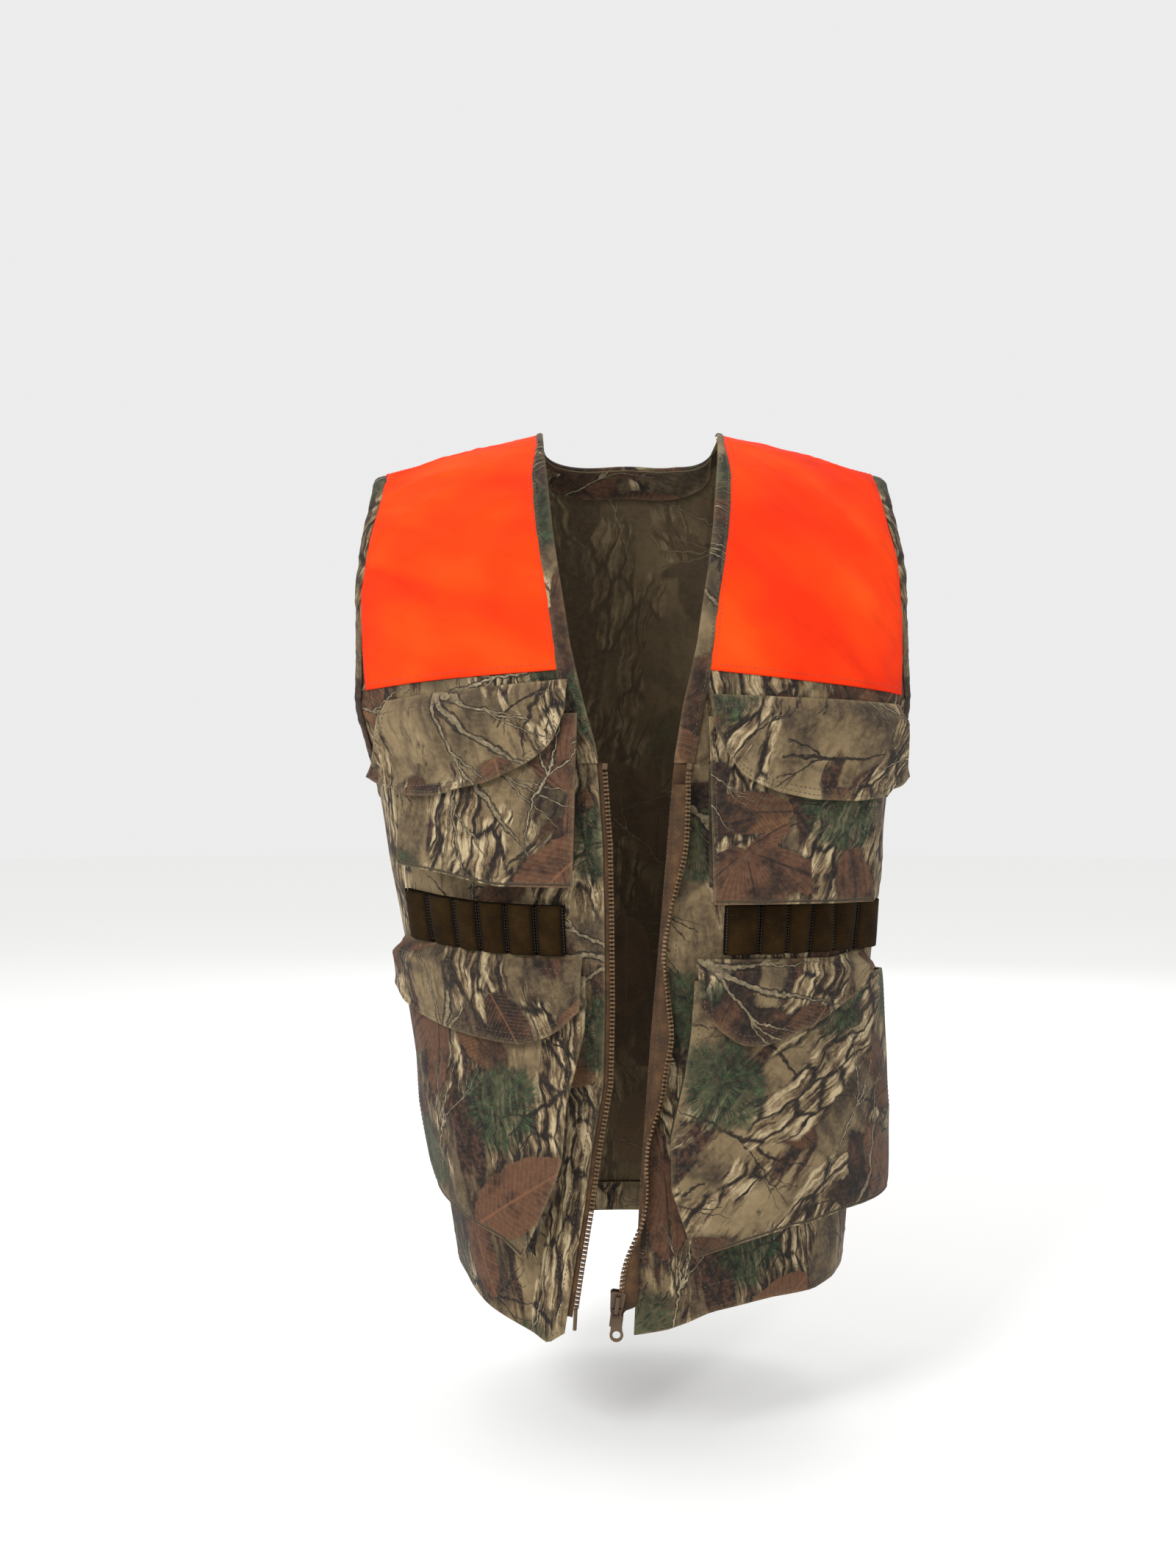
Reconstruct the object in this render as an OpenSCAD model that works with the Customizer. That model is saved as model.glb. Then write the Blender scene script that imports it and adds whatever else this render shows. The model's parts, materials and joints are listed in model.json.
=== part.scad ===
// Field vest worn open: two fronts and a back joined at straight side seams, with blaze
// shoulder patches, four flapped box pockets, two rows of shell loops and a separating zip.
// Origin: midway between the two neck points of the shoulder seams. -Y is the wearer's front,
// +X is the wearer's left, +Z is up. Millimetres.

/* [Body] */
// Drop from the neck point to the hem
hem_drop = 610; // [560:5:660]
// Drop from the neck point to the bottom of the armhole
armpit_drop = 255; // [240:5:270]
// Half width that the rounding of the chest aims at, above the armpit
chest_half = 212; // [190:1:220]
// Half width at the armpit on the wearer's right
armpit_half_right = 180; // [170:1:195]
// Half width at the armpit on the wearer's left
armpit_half_left = 186; // [170:1:195]
// Half width of the hem on the wearer's right
hem_half_right = 120; // [110:1:160]
// Half width of the hem on the wearer's left
hem_half_left = 152; // [120:1:170]
// Depth of the chest in front of the side seams
chest_depth = 122; // [110:1:135]
// Depth of the back behind the side seams
back_depth = 104; // [90:1:120]
// Half width of the neck opening
neck_half = 65; // [60:1:75]
// Half width across the shoulder seams
shoulder_half = 184; // [170:1:188]
// Fall of the shoulder seam per mm of width
shoulder_slope = 0.26; // [0.15:0.01:0.35]

/* [Cloth] */
// Thickness of the body panels
panel_t = 1.6; // [1:0.1:2.5]
// Thickness of sewn-on layers
layer_t = 1.2; // [0.8:0.1:2]
// Gap between sewn layers
layer_gap = 0.6; // [0.4:0.1:1]
// Width of the folded bindings
binding_w = 9; // [6:1:14]

/* [Pockets] */
// Stand-off of a pocket face at its top
pocket_top_depth = 9; // [6:1:12]
// Stand-off of the chest pocket face at its bottom
chest_pocket_depth = 24; // [14:1:28]
// Stand-off of the lower pocket face at its bottom
lower_pocket_depth = 26; // [16:1:32]
// Longest drop of the chest flap below its seam
chest_flap_l = 68; // [50:1:80]
// Longest drop of the lower flap below its seam
lower_flap_l = 56; // [45:1:70]

/* [Shell loops] */
// Loops on each front
loop_count = 6; // [4:1:6]
// Width of the elastic
elastic_w = 32; // [25:1:38]
// Height that an empty loop stands off its backing
loop_rise = 8; // [6:0.5:10]

/* [Zip] */
// Pitch of the moulded teeth
tooth_pitch = 2.8; // [2.5:0.1:3.5]
// Width of each tape
tape_w = 9; // [8:0.5:12]
// Length of the slider body
slider_l = 13; // [11:0.5:16]
// Length of the pull tab below its eye
pull_l = 19; // [16:0.5:24]
// Radius of the hole at the end of the pull tab
pull_hole_r = 2.6; // [2:0.1:2.8]

/* [Hidden] */
SIDES = ["right", "left"];
SIDE_NODES = ["front_panel", "shoulder_patch", "front_facing", "front_armhole_binding", "front_hem",
    "chest_pocket", "chest_pocket_gusset", "chest_flap", "chest_flap_hook", "chest_pocket_loop",
    "shell_loops", "lower_pocket", "lower_pocket_gusset", "lower_flap", "lower_flap_hook",
    "lower_pocket_loop", "zip_tape", "zip_teeth", "zip_top_stop", "back_armhole_binding"];

RIGHT = -1;
LEFT = 1;
BLAZE = "orangered";
CAMO = "darkkhaki";
CAMO_DARK = "peru";
WEBBING = "saddlebrown";
TAPE = "sienna";
METAL = "dimgray";
HOOK = "black";

swell = 0.2;                    // how much squarer than an ellipse a level section is
front_rise = 200;               // drop over which the front curves out from the shoulder
back_rise = 160;                // the same for the back
slope_fade = 220;               // drop over which the shoulder slope dies out
seam_h = hem_drop - armpit_drop;
zip_top_z = -243;
zip_bottom_z = -585;
zip_y = -127.8;                 // the wearer's left chain stands this far forward
tape_t = 0.8;
tooth_t = 3;
tooth_l = 3.4;
on_panel = panel_t + layer_gap; // offset of anything sewn onto a panel

// ---------------------------------------------------------------- the worn body

function smooth(t) = let (c = min(max(t, 0), 1)) c * c * (3 - 2 * c);
function mix(a, b, t) = a + (b - a) * t;
function unit(v) = v / norm(v);
function hem_half(side) = side == LEFT ? hem_half_left : hem_half_right;
function armpit_half(side) = side == LEFT ? armpit_half_left : armpit_half_right;

// half width of the body at a drop h; straight from the armpit to the hem
function half_width(side, h) = h < armpit_drop
    ? mix(chest_half, armpit_half(side), smooth((h - 190) / (armpit_drop - 190)))
    : mix(armpit_half(side), hem_half(side), (h - armpit_drop) / seam_h);

// A panel is measured by an angle round the body (0 at the middle, 90 at the side seam) and a
// run down the cloth from the shoulder seam. front is -1 for the front and 1 for the back.
function rise_of(front) = front < 0 ? front_rise : back_rise;
function depth_of(front) = front < 0 ? chest_depth : back_depth;
function curve_run(front) = let (a = rise_of(front), b = depth_of(front))
    PI / 4 * (3 * (a + b) - sqrt((3 * a + b) * (a + 3 * b)));
function drop_at(front, run) = let (full = curve_run(front))
    run < full ? rise_of(front) * (1 - cos(90 * run / full)) : rise_of(front) + run - full;
function run_at(front, h) = let (full = curve_run(front))
    h < rise_of(front) ? full * acos(1 - h / rise_of(front)) / 90 : full + h - rise_of(front);
function reach_at(front, run) = let (full = curve_run(front))
    run < full ? sin(90 * run / full) : 1;

function body(side, front, angle, run) = let (
    h = drop_at(front, run),
    x = half_width(side, h) * sin(angle),
    y = depth_of(front) * reach_at(front, run) * cos(angle) * (1 + swell * pow(sin(angle), 2)),
    z = -h - shoulder_slope * (x - neck_half) * (1 - smooth(h / slope_fade))
) [side * x, front * y, z];

// the same point moved out from the cloth by off
function skin(side, front, angle, run, off) = let (
    step = 0.4,
    along = body(side, front, angle + step, run) - body(side, front, angle - step, run),
    down = body(side, front, angle, run + step) - body(side, front, angle, run - step),
    n = unit(cross(along, down)) * side * front
) body(side, front, angle, run) + n * off;

// the angle at which a panel is x from the middle
function angle_of(side, x, h) = asin(min(x / half_width(side, h), 1));

// ---------------------------------------------------------------- edges

// half width of the front edge: the V neck, then the edge that carries the zip
NECK_EDGE = [[0, 64], [26, 61.5], [57, 58], [85, 55], [113, 51], [137, 47], [160, 43.5],
    [180, 39], [200, 34]];
RIGHT_EDGE = [[225, 27], [243, 24], [292, 20.5], [340, 19.5], [400, 19], [450, 20], [491, 27],
    [535, 33], [572, 39], [625, 47]];
LEFT_EDGE = [[225, 30], [243, 27], [340, 19], [420, 12], [520, 5], [625, 0]];
function front_edge(side, h) = lookup(h, concat(NECK_EDGE, side == LEFT ? LEFT_EDGE : RIGHT_EDGE));
function inner_angle(side, h) = angle_of(side, front_edge(side, h), h);

// the armhole: nearly straight down from the shoulder, then a quarter round under the arm
ARM_EDGE = [[0, shoulder_half], [30, 186], [60, 188.5], [100, 190], [175, 190]];
arm_turn = 80;                  // height of the round at the foot of the armhole
function armhole_angle(h) = let (
    start = asin(lookup(h, ARM_EDGE) / chest_half),
    t = min(max((h - armpit_drop + arm_turn) / arm_turn, 0), 1)
) start + (89.8 - start) * (1 - sqrt(1 - t * t));
function outer_angle(h) = h < armpit_drop ? armhole_angle(h) : 89.8;

// drop of the front hem at a share u of the way from the front edge to the side seam
side_hem_drop = 592;
RIGHT_HEM = [[0, 615], [0.08, 623], [0.25, 615], [0.45, 606], [0.7, 596], [1, side_hem_drop]];
LEFT_HEM = [[0, 614], [0.09, 611], [0.22, 601], [0.42, 595], [1, side_hem_drop]];
function hem_at(side, u) = lookup(u, side == LEFT ? LEFT_HEM : RIGHT_HEM);

// ---------------------------------------------------------------- sheets

// a closed sheet over a grid: place(u, v, off) gives a point for u, v from 0 to 1
module sheet(place, nu, nv, lo, hi, flip = false) {
    cols = nu + 1;
    rows = nv + 1;
    n = cols * rows;
    points = [for (off = [lo, hi], j = [0:nv], i = [0:nu]) place(i / nu, j / nv, off)];
    function at(layer, i, j) = layer * n + j * cols + i;
    skins = [for (j = [0:nv - 1], i = [0:nu - 1]) each [
        [at(0, i, j), at(0, i + 1, j), at(0, i + 1, j + 1)],
        [at(0, i, j), at(0, i + 1, j + 1), at(0, i, j + 1)],
        [at(1, i, j), at(1, i + 1, j + 1), at(1, i + 1, j)],
        [at(1, i, j), at(1, i, j + 1), at(1, i + 1, j + 1)]]];
    rims = concat(
        [for (i = [0:nu - 1]) each quad(at(0, i + 1, 0), at(0, i, 0), at(1, i, 0), at(1, i + 1, 0))],
        [for (i = [0:nu - 1]) each quad(at(0, i, nv), at(0, i + 1, nv), at(1, i + 1, nv), at(1, i, nv))],
        [for (j = [0:nv - 1]) each quad(at(0, 0, j), at(0, 0, j + 1), at(1, 0, j + 1), at(1, 0, j))],
        [for (j = [0:nv - 1]) each quad(at(0, nu, j + 1), at(0, nu, j), at(1, nu, j), at(1, nu, j + 1))]);
    faces = concat(skins, rims);
    polyhedron(points, flip ? [for (f = faces) [f[2], f[1], f[0]]] : faces);
}
function quad(a, b, c, d) = [[a, b, c], [a, c, d]];
function mirrored(side, front) = side * front > 0;

// a sheet on the body between angles a0(h), a1(h) and drops h0(u), h1(u)
module body_sheet(side, front, a0, a1, h0, h1, nu, nv, lo, hi) {
    sheet(function (u, v, off) let (
        run = mix(run_at(front, h0(u)), run_at(front, h1(u)), v),
        h = drop_at(front, run)
    ) skin(side, front, mix(a0(h), a1(h), u), run, off), nu, nv, lo, hi, mirrored(side, front));
}

// ---------------------------------------------------------------- body panels

module front_panel(side) {
    color(CAMO)
    body_sheet(side, -1, function (h) inner_angle(side, h), function (h) min(outer_angle(h), 89.3),
        function (u) 0.001, function (u) hem_at(side, u), 14, 30, 0, panel_t);
}

// The back runs from one side to the other, w from -1 on the wearer's right to 1 on the left.
// Its columns meet the neck points, so that the neckline is one smooth scoop between them.
back_neck_drop = 22;
inner_gap = 2;                  // clearance of the strips inside a strongly curved edge
neck_gap = 4.2;                 // clearance of the strip inside the back of the neck
neck_share = asin(neck_half / chest_half) / armhole_angle(0);
function column(u, share) = let (c = abs(2 * u - 1)) (u < 0.5 ? -1 : 1) * share
    * (c < 0.4 ? c / 0.4 * neck_share / share : mix(neck_share / share, 1, (c - 0.4) / 0.6));
function neck_drop(w) = 0.001 + back_neck_drop * sqrt(max(1 - pow(w / neck_share, 2), 0));

module back_band(share, h0, h1, lo, hi, nu, nv, tone) {
    color(tone)
    sheet(function (u, v, off) let (
        w = column(u, share),
        run = mix(run_at(1, h0(abs(w))), run_at(1, h1(abs(w))), v)
    ) skin(w < 0 ? RIGHT : LEFT, 1, outer_angle(drop_at(1, run)) * abs(w), run, off),
        nu, nv, lo, hi);
}

module back_panel() back_band(1, function (w) neck_drop(w), function (w) side_hem_drop,
    0, panel_t, 30, 26, CAMO);
yoke_drop = 150;
module back_yoke() back_band(0.94, function (w) neck_drop(w) + 2, function (w) yoke_drop,
    on_panel, on_panel + layer_t, 30, 9, BLAZE);
module back_hem() back_band(0.985, function (w) side_hem_drop - 22, function (w) side_hem_drop,
    -layer_gap - layer_t, -layer_gap, 20, 1, CAMO_DARK);

module back_neck_facing() {
    color(CAMO_DARK)
    sheet(function (u, v, off) let (
        w = (2 * u - 1) * neck_share * 0.9,
        run = run_at(1, neck_drop(abs(w))) + 1 + 16 * v
    ) skin(w < 0 ? RIGHT : LEFT, 1, outer_angle(drop_at(1, run)) * abs(w), run, off),
        14, 4, -neck_gap - layer_t, -neck_gap);
}

// ---------------------------------------------------------------- trim on the fronts

PATCH_IN = [[0, 66], [10, 64.5], [26, 66.5], [41, 67.5], [62, 66], [81, 64], [105, 60.6],
    [123, 57.2], [147, 54], [185, 49]];
PATCH_OUT = [[0, 175.5], [41, 179.2], [80, 183.5], [121, 185.3], [155, 184.5], [200, 181.5]];
module shoulder_patch(side) {
    color(BLAZE)
    body_sheet(side, -1, function (h) angle_of(side, lookup(h, PATCH_IN), h),
        function (h) angle_of(side, lookup(h, PATCH_OUT), h), function (u) 1.5,
        function (u) 177 + (side == LEFT ? 12 : 8) * u, 9, 12, on_panel, on_panel + layer_t);
}

facing_w = 28;
facing_off = 0.9 + tape_t;       // leaves room for the tape between the facing and the panel
module front_facing(side) {
    color(CAMO_DARK)
    body_sheet(side, -1, function (h) angle_of(side, front_edge(side, h) + 0.8, h),
        function (h) angle_of(side, front_edge(side, h) + facing_w, h),
        function (u) 2, function (u) 609, 2, 30, -facing_off - layer_t, -facing_off);
}

module front_hem(side) {
    from = (facing_w + 3) / hem_half(side) / 1.25;
    color(CAMO_DARK)
    body_sheet(side, -1, function (h) angle_of(side, front_edge(side, h) + facing_w + 2, h),
        function (h) 88.5, function (u) hem_at(side, mix(from, 0.98, u)) - 22,
        function (u) hem_at(side, mix(from, 0.98, u)), 10, 1, -layer_gap - layer_t, -layer_gap);
}

// a folded strip inside the armhole edge
module armhole_binding(side, front) {
    color(CAMO_DARK)
    body_sheet(side, front, function (h) armhole_angle(h) - binding_angle(h),
        function (h) armhole_angle(h) - 0.3, function (u) 3, function (u) armpit_drop - 5,
        1, 22, -inner_gap - layer_t, -inner_gap);
}
// wider in angle where the edge turns under the arm, so that the strip keeps its width
function binding_angle(h) = let (t = min(max((h - armpit_drop + arm_turn) / arm_turn, 0), 0.97))
    binding_w / 150 * 57.3 / max(sqrt(1 - t * t), 0.4);

// ---------------------------------------------------------------- box pockets

// A pocket is [inner half width by drop, outer half width by drop, drop of its mouth, drop of its
// foot by share across, stand-off at the foot on the inner side, and on the outer side, how much
// lower the foot is sewn to the panel than the face hangs].
CHEST = [
    [[[180, 36.5], [320, 38]], [[190, 150], [250, 147], [304, 141]], 206,
        [[0, 318.5], [0.37, 317.5], [0.64, 310], [1, 303]], chest_pocket_depth, chest_pocket_depth, -9],
    [[[180, 48.5], [330, 48.5]], [[200, 155], [256, 152], [327, 146]], 208, [[0, 329.5], [1, 329.5]],
        chest_pocket_depth, chest_pocket_depth, -9]];
LOWER = [
    [[[370, 31], [412, 31], [436, 36], [460, 41.5], [495, 43], [510, 46.5], [559, 64]],
        [[372, 150], [440, 141], [476, 138], [514, 129], [540, 119]], 378,
        [[0, 559], [0.2, 549], [0.55, 540], [1, 530]], lower_pocket_depth, 13, 9],
    [[[370, 40], [415, 36], [442, 31.5], [481, 22.5], [513, 22.5], [557, 36]],
        [[373, 168], [534, 154]], 381,
        [[0, 557], [0.19, 548], [0.38, 540], [0.65, 534.5], [1, 534]], lower_pocket_depth, 29, 6]];
function chest_pocket_of(side) = CHEST[side == LEFT ? 1 : 0];
function lower_pocket_of(side) = LOWER[side == LEFT ? 1 : 0];

function pocket_drop(p, u, v) = mix(p[2], lookup(u, p[3]), v);
function across(side, p, u, h) = mix(angle_of(side, lookup(h, p[0]), h),
    angle_of(side, lookup(h, p[1]), h), u);
function stand_off(p, u, v) = mix(pocket_top_depth, mix(p[4], p[5], u), pow(v, 0.8));

// a point of a pocket's front face at shares u across and v down, raised by off
function pocket_point(side, p, u, v, off) = let (h = pocket_drop(p, u, v))
    skin(side, -1, across(side, p, u, h), run_at(-1, h), stand_off(p, u, v) + off);

module pocket_face(side, p) {
    color(CAMO)
    sheet(function (u, v, off) pocket_point(side, p, u, v, off), 9, 9, 0, layer_t,
        mirrored(side, -1));
}

// the wall that joins the face to the panel: down one side, along the foot, up the other
wall_u = 0.014;
wall_v = 0.011;
function wall_path(t) = t < 1 ? [0, t] : t < 2 ? [t - 1, 1] : [1, 3 - t];
module pocket_gusset(side, p) {
    color(CAMO_DARK)
    sheet(function (u, v, off) let (
        at = wall_path(u * 3),
        uu = mix(at[0], mix(wall_u, 1 - wall_u, at[0]), off),
        vv = mix(at[1], at[1] * (1 - wall_v), off),
        h = pocket_drop(p, uu, vv) + p[6] * (1 - v) * pow(vv, 5),
        reach = mix(on_panel, stand_off(p, uu, vv) - 0.5, v)
    ) skin(side, -1, across(side, p, uu, h), run_at(-1, h), reach),
        27, 1, 0, 1, !mirrored(side, -1));
}

// ---------------------------------------------------------------- flaps

// A flap is [inner half width by drop, outer half width by drop, seam drop by share across,
// length by share across].
CHEST_FLAP = [
    [[[184, 44]], [[195, 166], [238, 166], [250, 164]], [[0, 184], [1, 195]], [[0, 14],
        [0.02, 30], [0.05, 40], [0.14, 51], [0.3, 62], [0.53, 68], [0.7, 65.5], [0.83, 58.5],
        [0.94, 49], [1, 43]]],
    [[[194, 51]], [[195, 178.5], [242, 176]], [[0, 193.5], [1, 196.5]], [[0, 18], [0.03, 33], [0.1, 52], [0.22, 61.5],
        [0.37, 66.5], [0.55, 66.5], [0.7, 63], [0.83, 56], [0.94, 48], [1, 43]]]];
LOWER_FLAP = [
    [[[366, 34]], [[358, 154], [402, 149]], [[0, 366.5], [1, 358]], [[0, 31], [0.03, 38], [0.09, 48], [0.2, 56], [0.38, 53.5],
        [0.55, 50.5], [0.75, 46], [0.88, 41], [1, 31]]],
    [[[366, 41]], [[366, 158], [372, 155]], [[0, 367.5], [0.7, 369.5], [1, 365.5]], [[0, 28], [0.05, 40], [0.16, 53],
        [0.26, 54], [0.42, 46], [0.57, 38], [0.72, 28], [0.85, 20], [1, 11]]]];
function chest_flap_of(side) = CHEST_FLAP[side == LEFT ? 1 : 0];
function lower_flap_of(side) = LOWER_FLAP[side == LEFT ? 1 : 0];

flap_lift = 2.6;                // clearance of a flap over the pocket's face
flap_seam_off = on_panel + 1.2;
flap_rise = 10;                 // drop over which a flap climbs from its seam onto the pocket
flap_fold = 9;                  // the loose part of a flap turns about the line this far down
function flap_at(side, f, p, u, d, off) = let (
    h = lookup(u, f[2]) + d,
    angle = across(side, f, u, h),
    near = across(side, p, 0, h),
    pu = min(max((angle - near) / (across(side, p, 1, h) - near), 0), 1),
    pv = max((h - p[2]) / (lookup(pu, p[3]) - p[2]), 0),
    stand = mix(flap_seam_off, stand_off(p, pu, pv) + layer_t + flap_lift, smooth(d / flap_rise))
) skin(side, -1, angle, run_at(-1, h), stand + off);

module flap(side, f, p, longest) {
    k = longest / max([for (e = f[3]) e[1]]);
    color(CAMO)
    sheet(function (u, v, off) flap_at(side, f, p, u, mix(flap_fold, k * lookup(u, f[3]), v), off),
        20, 5, 0, layer_t, mirrored(side, -1));
}

// a strip of hook tape under a flap, and of loop tape on the pocket below it
tab_w = 40;
tab_h = 16;
module flap_hook(side, f, p, at_u, at_d) {
    color(HOOK)
    sheet(function (u, v, off) flap_at(side, f, p, at_u + (u - 0.5) * tab_w / 130,
        at_d + (v - 0.5) * tab_h, off), 5, 2, -1.0, -0.3, mirrored(side, -1));
}
module pocket_loop(side, f, p, at_u, at_d) {
    color(HOOK)
    sheet(function (u, v, off) flap_at(side, f, p, at_u + (u - 0.5) * tab_w / 130,
        at_d + (v - 0.5) * tab_h, off - flap_lift), 5, 2, 0.3, 1.0, mirrored(side, -1));
}

// ---------------------------------------------------------------- shell loops

// the seams between loops, as angles round the body
LOOP_SEAMS = [[15.8, 22.5, 29.6, 36.8, 44, 54, 65], [19.5, 27.5, 34.5, 41.2, 48.7, 57.5, 70.5]];
loops_drop = 332;
// the elastic bows over each loop; a flat strip behind it carries the seams
module shell_loops(side) {
    steps = 6;
    n = loop_count * steps;
    seams = LOOP_SEAMS[side == LEFT ? 1 : 0];
    tilt = side == LEFT ? 0 : -8;
    function turn(u) = let (t = u * loop_count, k = min(floor(t + 1e-6), loop_count - 1))
        mix(seams[k], seams[k + 1], t - k);
    function rise(u) = loop_rise * pow(abs(sin(180 * u * loop_count)), 0.6);
    color(WEBBING) {
        sheet(function (u, v, off) skin(side, -1, turn(u),
            run_at(-1, loops_drop + tilt * u * u + elastic_w * v), on_panel + 1 + rise(u) + off),
            n, 1, 0, 1, mirrored(side, -1));
        sheet(function (u, v, off) skin(side, -1, turn(u),
            run_at(-1, loops_drop + tilt * u * u + elastic_w * v), on_panel + off),
            n, 1, 0, 0.8, mirrored(side, -1));
    }
}

// ---------------------------------------------------------------- zip

// The wearer's left chain is straight, because the slider runs on it, and its tape is rolled
// out in front of the panel. The right chain follows its own front edge.
LEFT_ZIP = [[36, zip_y, zip_top_z], [-8, zip_y, zip_bottom_z]];
RIGHT_ZIP = [[-19, -121.2, zip_top_z], [-39, -118.4, zip_bottom_z - 14]];
function zip_of(side) = side == LEFT ? LEFT_ZIP : RIGHT_ZIP;
function zip_length(side) = norm(zip_of(side)[0] - zip_of(side)[1]);
// sideways bow of the right chain at a height up it
function bow(side, up) = side == LEFT ? 0 : let (h = -zip_of(side)[1][2] - up)
    zip_to_edge(h) - mix(zip_of(side)[1][0], zip_of(side)[0][0], up / zip_length(side));
zip_in = 5;                     // the right chain runs this far inside of its front edge
function zip_to_edge(h) = -(front_edge(RIGHT, h) - zip_in);

// children in the chain's frame: origin at its bottom, Z up the chain, X to the wearer's left
module on_zip(side) {
    line = zip_of(side);
    up = unit(line[0] - line[1]);
    across = unit([1, 0, 0] - up * up[0]);
    back = cross(up, across);
    multmatrix([
        [across[0], back[0], up[0], line[1][0]],
        [across[1], back[1], up[1], line[1][1]],
        [across[2], back[2], up[2], line[1][2]],
        [0, 0, 0, 1]]) children();
}

// The wearer's left tape is a flat strip with a return that joins it to the front edge. The right
// tape lies inside its own front edge.
module zip_tape(side) {
    near = tooth_l / 2 + 0.2;
    far = near + tape_w;
    back = 3.4;
    color(TAPE)
    if (side == LEFT)
        on_zip(side)
            translate([0, 0, -6])
                linear_extrude(zip_length(side) + 14)
                    polygon([[near, -tape_t / 2], [far, -tape_t / 2], [far, back],
                        [far - tape_t, back], [far - tape_t, tape_t / 2], [near, tape_t / 2]]);
    else
        body_sheet(side, -1,
            function (h) angle_of(side, front_edge(side, h) - zip_in + near, h),
            function (h) angle_of(side, front_edge(side, h) - zip_in + far, h),
            function (u) 236, function (u) 605, 2, 30, -0.5 - tape_t, -0.5);
}

// a comb of teeth on a spine that grips the tape's edge
module zip_teeth(side) {
    count = floor((zip_length(side) - 2) / tooth_pitch);
    spine = 1.2;
    tooth = tooth_pitch * 0.55;
    in_x = -side * tooth_l / 2;
    out_x = side * tooth_l / 2;
    comb = concat(
        [for (i = [0:count]) let (z = 1 + i * tooth_pitch) [out_x + bow(side, z), z]],
        [for (i = [count - 1:-1:0]) let (z = 1 + i * tooth_pitch, x = bow(side, z)) each [
            [out_x - side * spine + x, z + tooth + 0.6], [in_x + x, z + tooth + 0.6],
            [in_x + x, z + 0.6], [out_x - side * spine + x, z + 0.6]]]);
    color(METAL)
    on_zip(side)
        translate([0, tooth_t / 2, 0])
            rotate([90, 0, 0])
                linear_extrude(tooth_t)
                    polygon(comb);
}

module zip_top_stop(side) {
    color(METAL)
    on_zip(side)
        translate([-tooth_l / 2 + bow(side, zip_length(side)), -tooth_t / 2 - 0.3,
            zip_length(side) + 0.6])
            cube([tooth_l, tooth_t + 0.6, 4]);
}

// the insertion pin at the foot of the wearer's right chain
pin_r = 1.3;
module zip_pin() {
    color(METAL)
    on_zip(RIGHT)
        translate([bow(RIGHT, 0), 0, -13.5])
            cylinder(r = pin_r, h = 14, $fn = 32);
}

// the retaining box at the foot of the wearer's left chain, open above for the pin
box_w = 8.4;
box_d = 5;
box_h = 8;
box_gap = 0.4;
pin_x = -2.4;
module zip_box() {
    color(METAL)
    on_zip(LEFT)
        difference() {
            translate([-box_w / 2 - 1.2, -box_d / 2, -box_h - slider_l - 1])
                cube([box_w, box_d, box_h]);
            translate([pin_x - 0.4, 0, -box_h - slider_l + 1])
                cylinder(r = pin_r + 0.15, h = box_h, $fn = 32);
        }
}

// ---------------------------------------------------------------- slider and pull

slider_w = 10;
slider_d = 6.6;
plate_t = 1.5;
bridge_d = 3.2;
bridge_w = 2.6;
eye_y = -slider_d / 2 - 1.15;   // centre of the bridge's window
eye_z = -slider_l + 2.7;        // the pull's bar rests on the lower end of the window

// two plates held together by a wedge between the two channels, and the bridge for the pull
module zip_slider() {
    half = slider_w / 2;
    color(METAL)
    on_zip(LEFT)
        translate([-2.2, 0, 0]) {
            for (face = [-1, 1])
                translate([0, face * (slider_d / 2 - plate_t / 2), 0])
                    rotate([90, 0, 0])
                        translate([0, 0, -plate_t / 2])
                            linear_extrude(plate_t)
                                polygon([[-half, 0], [-half + 1.4, 1.2], [half - 1.4, 1.2], [half, 0],
                                    [half - 1.2, -slider_l + 1], [half - 2.4, -slider_l],
                                    [-half + 2.4, -slider_l], [-half + 1.2, -slider_l + 1]]);
            translate([-1.5, 0, 0])
                rotate([90, 0, 0])
                    translate([0, 0, -slider_d / 2 + plate_t / 2])
                        linear_extrude(slider_d - plate_t)
                            polygon([[-0.9, 1.2], [1.1, 1.2], [0.7, -3], [0, -4.4], [-0.6, -3]]);
            bridge();
        }
}

module bridge() {
    foot = slider_d / 2;
    difference() {
        translate([-bridge_w / 2, -foot - bridge_d, -slider_l + 0.6])
            cube([bridge_w, bridge_d + 0.2, slider_l - 2]);
        translate([-bridge_w, -foot - bridge_d + 1.1, -slider_l + 1.5])
            cube([bridge_w * 2, bridge_d - 1.1 - 0.2, slider_l - 4]);
    }
}

// the tab's bar passes through the bridge, and its round end has a round hole
pull_t = 1.3;
pull_w = 9;
bar_t = 1.1;
frame_w = 6.4;
frame_hole_w = 3.6;
frame_hole_h = 2.4;
module zip_pull() {
    foot = -pull_l + pull_w / 2 - 1.5;
    top = bar_t / 2;
    color(METAL)
    on_zip(LEFT)
        translate([-2.2, eye_y, eye_z])
            pull_hang()
                rotate([90, 0, 0])
                    translate([0, 0, -pull_t / 2])
                        difference() {
                            union() {
                                translate([0, foot, 0])
                                    cylinder(r = pull_w / 2, h = pull_t, $fn = 64);
                                linear_extrude(pull_t)
                                    polygon([[-pull_w / 2 + 0.3, foot], [pull_w / 2 - 0.3, foot],
                                        [frame_w / 2, -6], [frame_w / 2, top],
                                        [-frame_w / 2, top], [-frame_w / 2, -6]]);
                            }
                            translate([-frame_hole_w / 2, -bar_t / 2 - frame_hole_h, -0.5])
                                cube([frame_hole_w, frame_hole_h, pull_t + 1]);
                            translate([0, foot, -0.5])
                                cylinder(r = pull_hole_r, h = pull_t + 1, $fn = 64);
                        }
}
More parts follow.
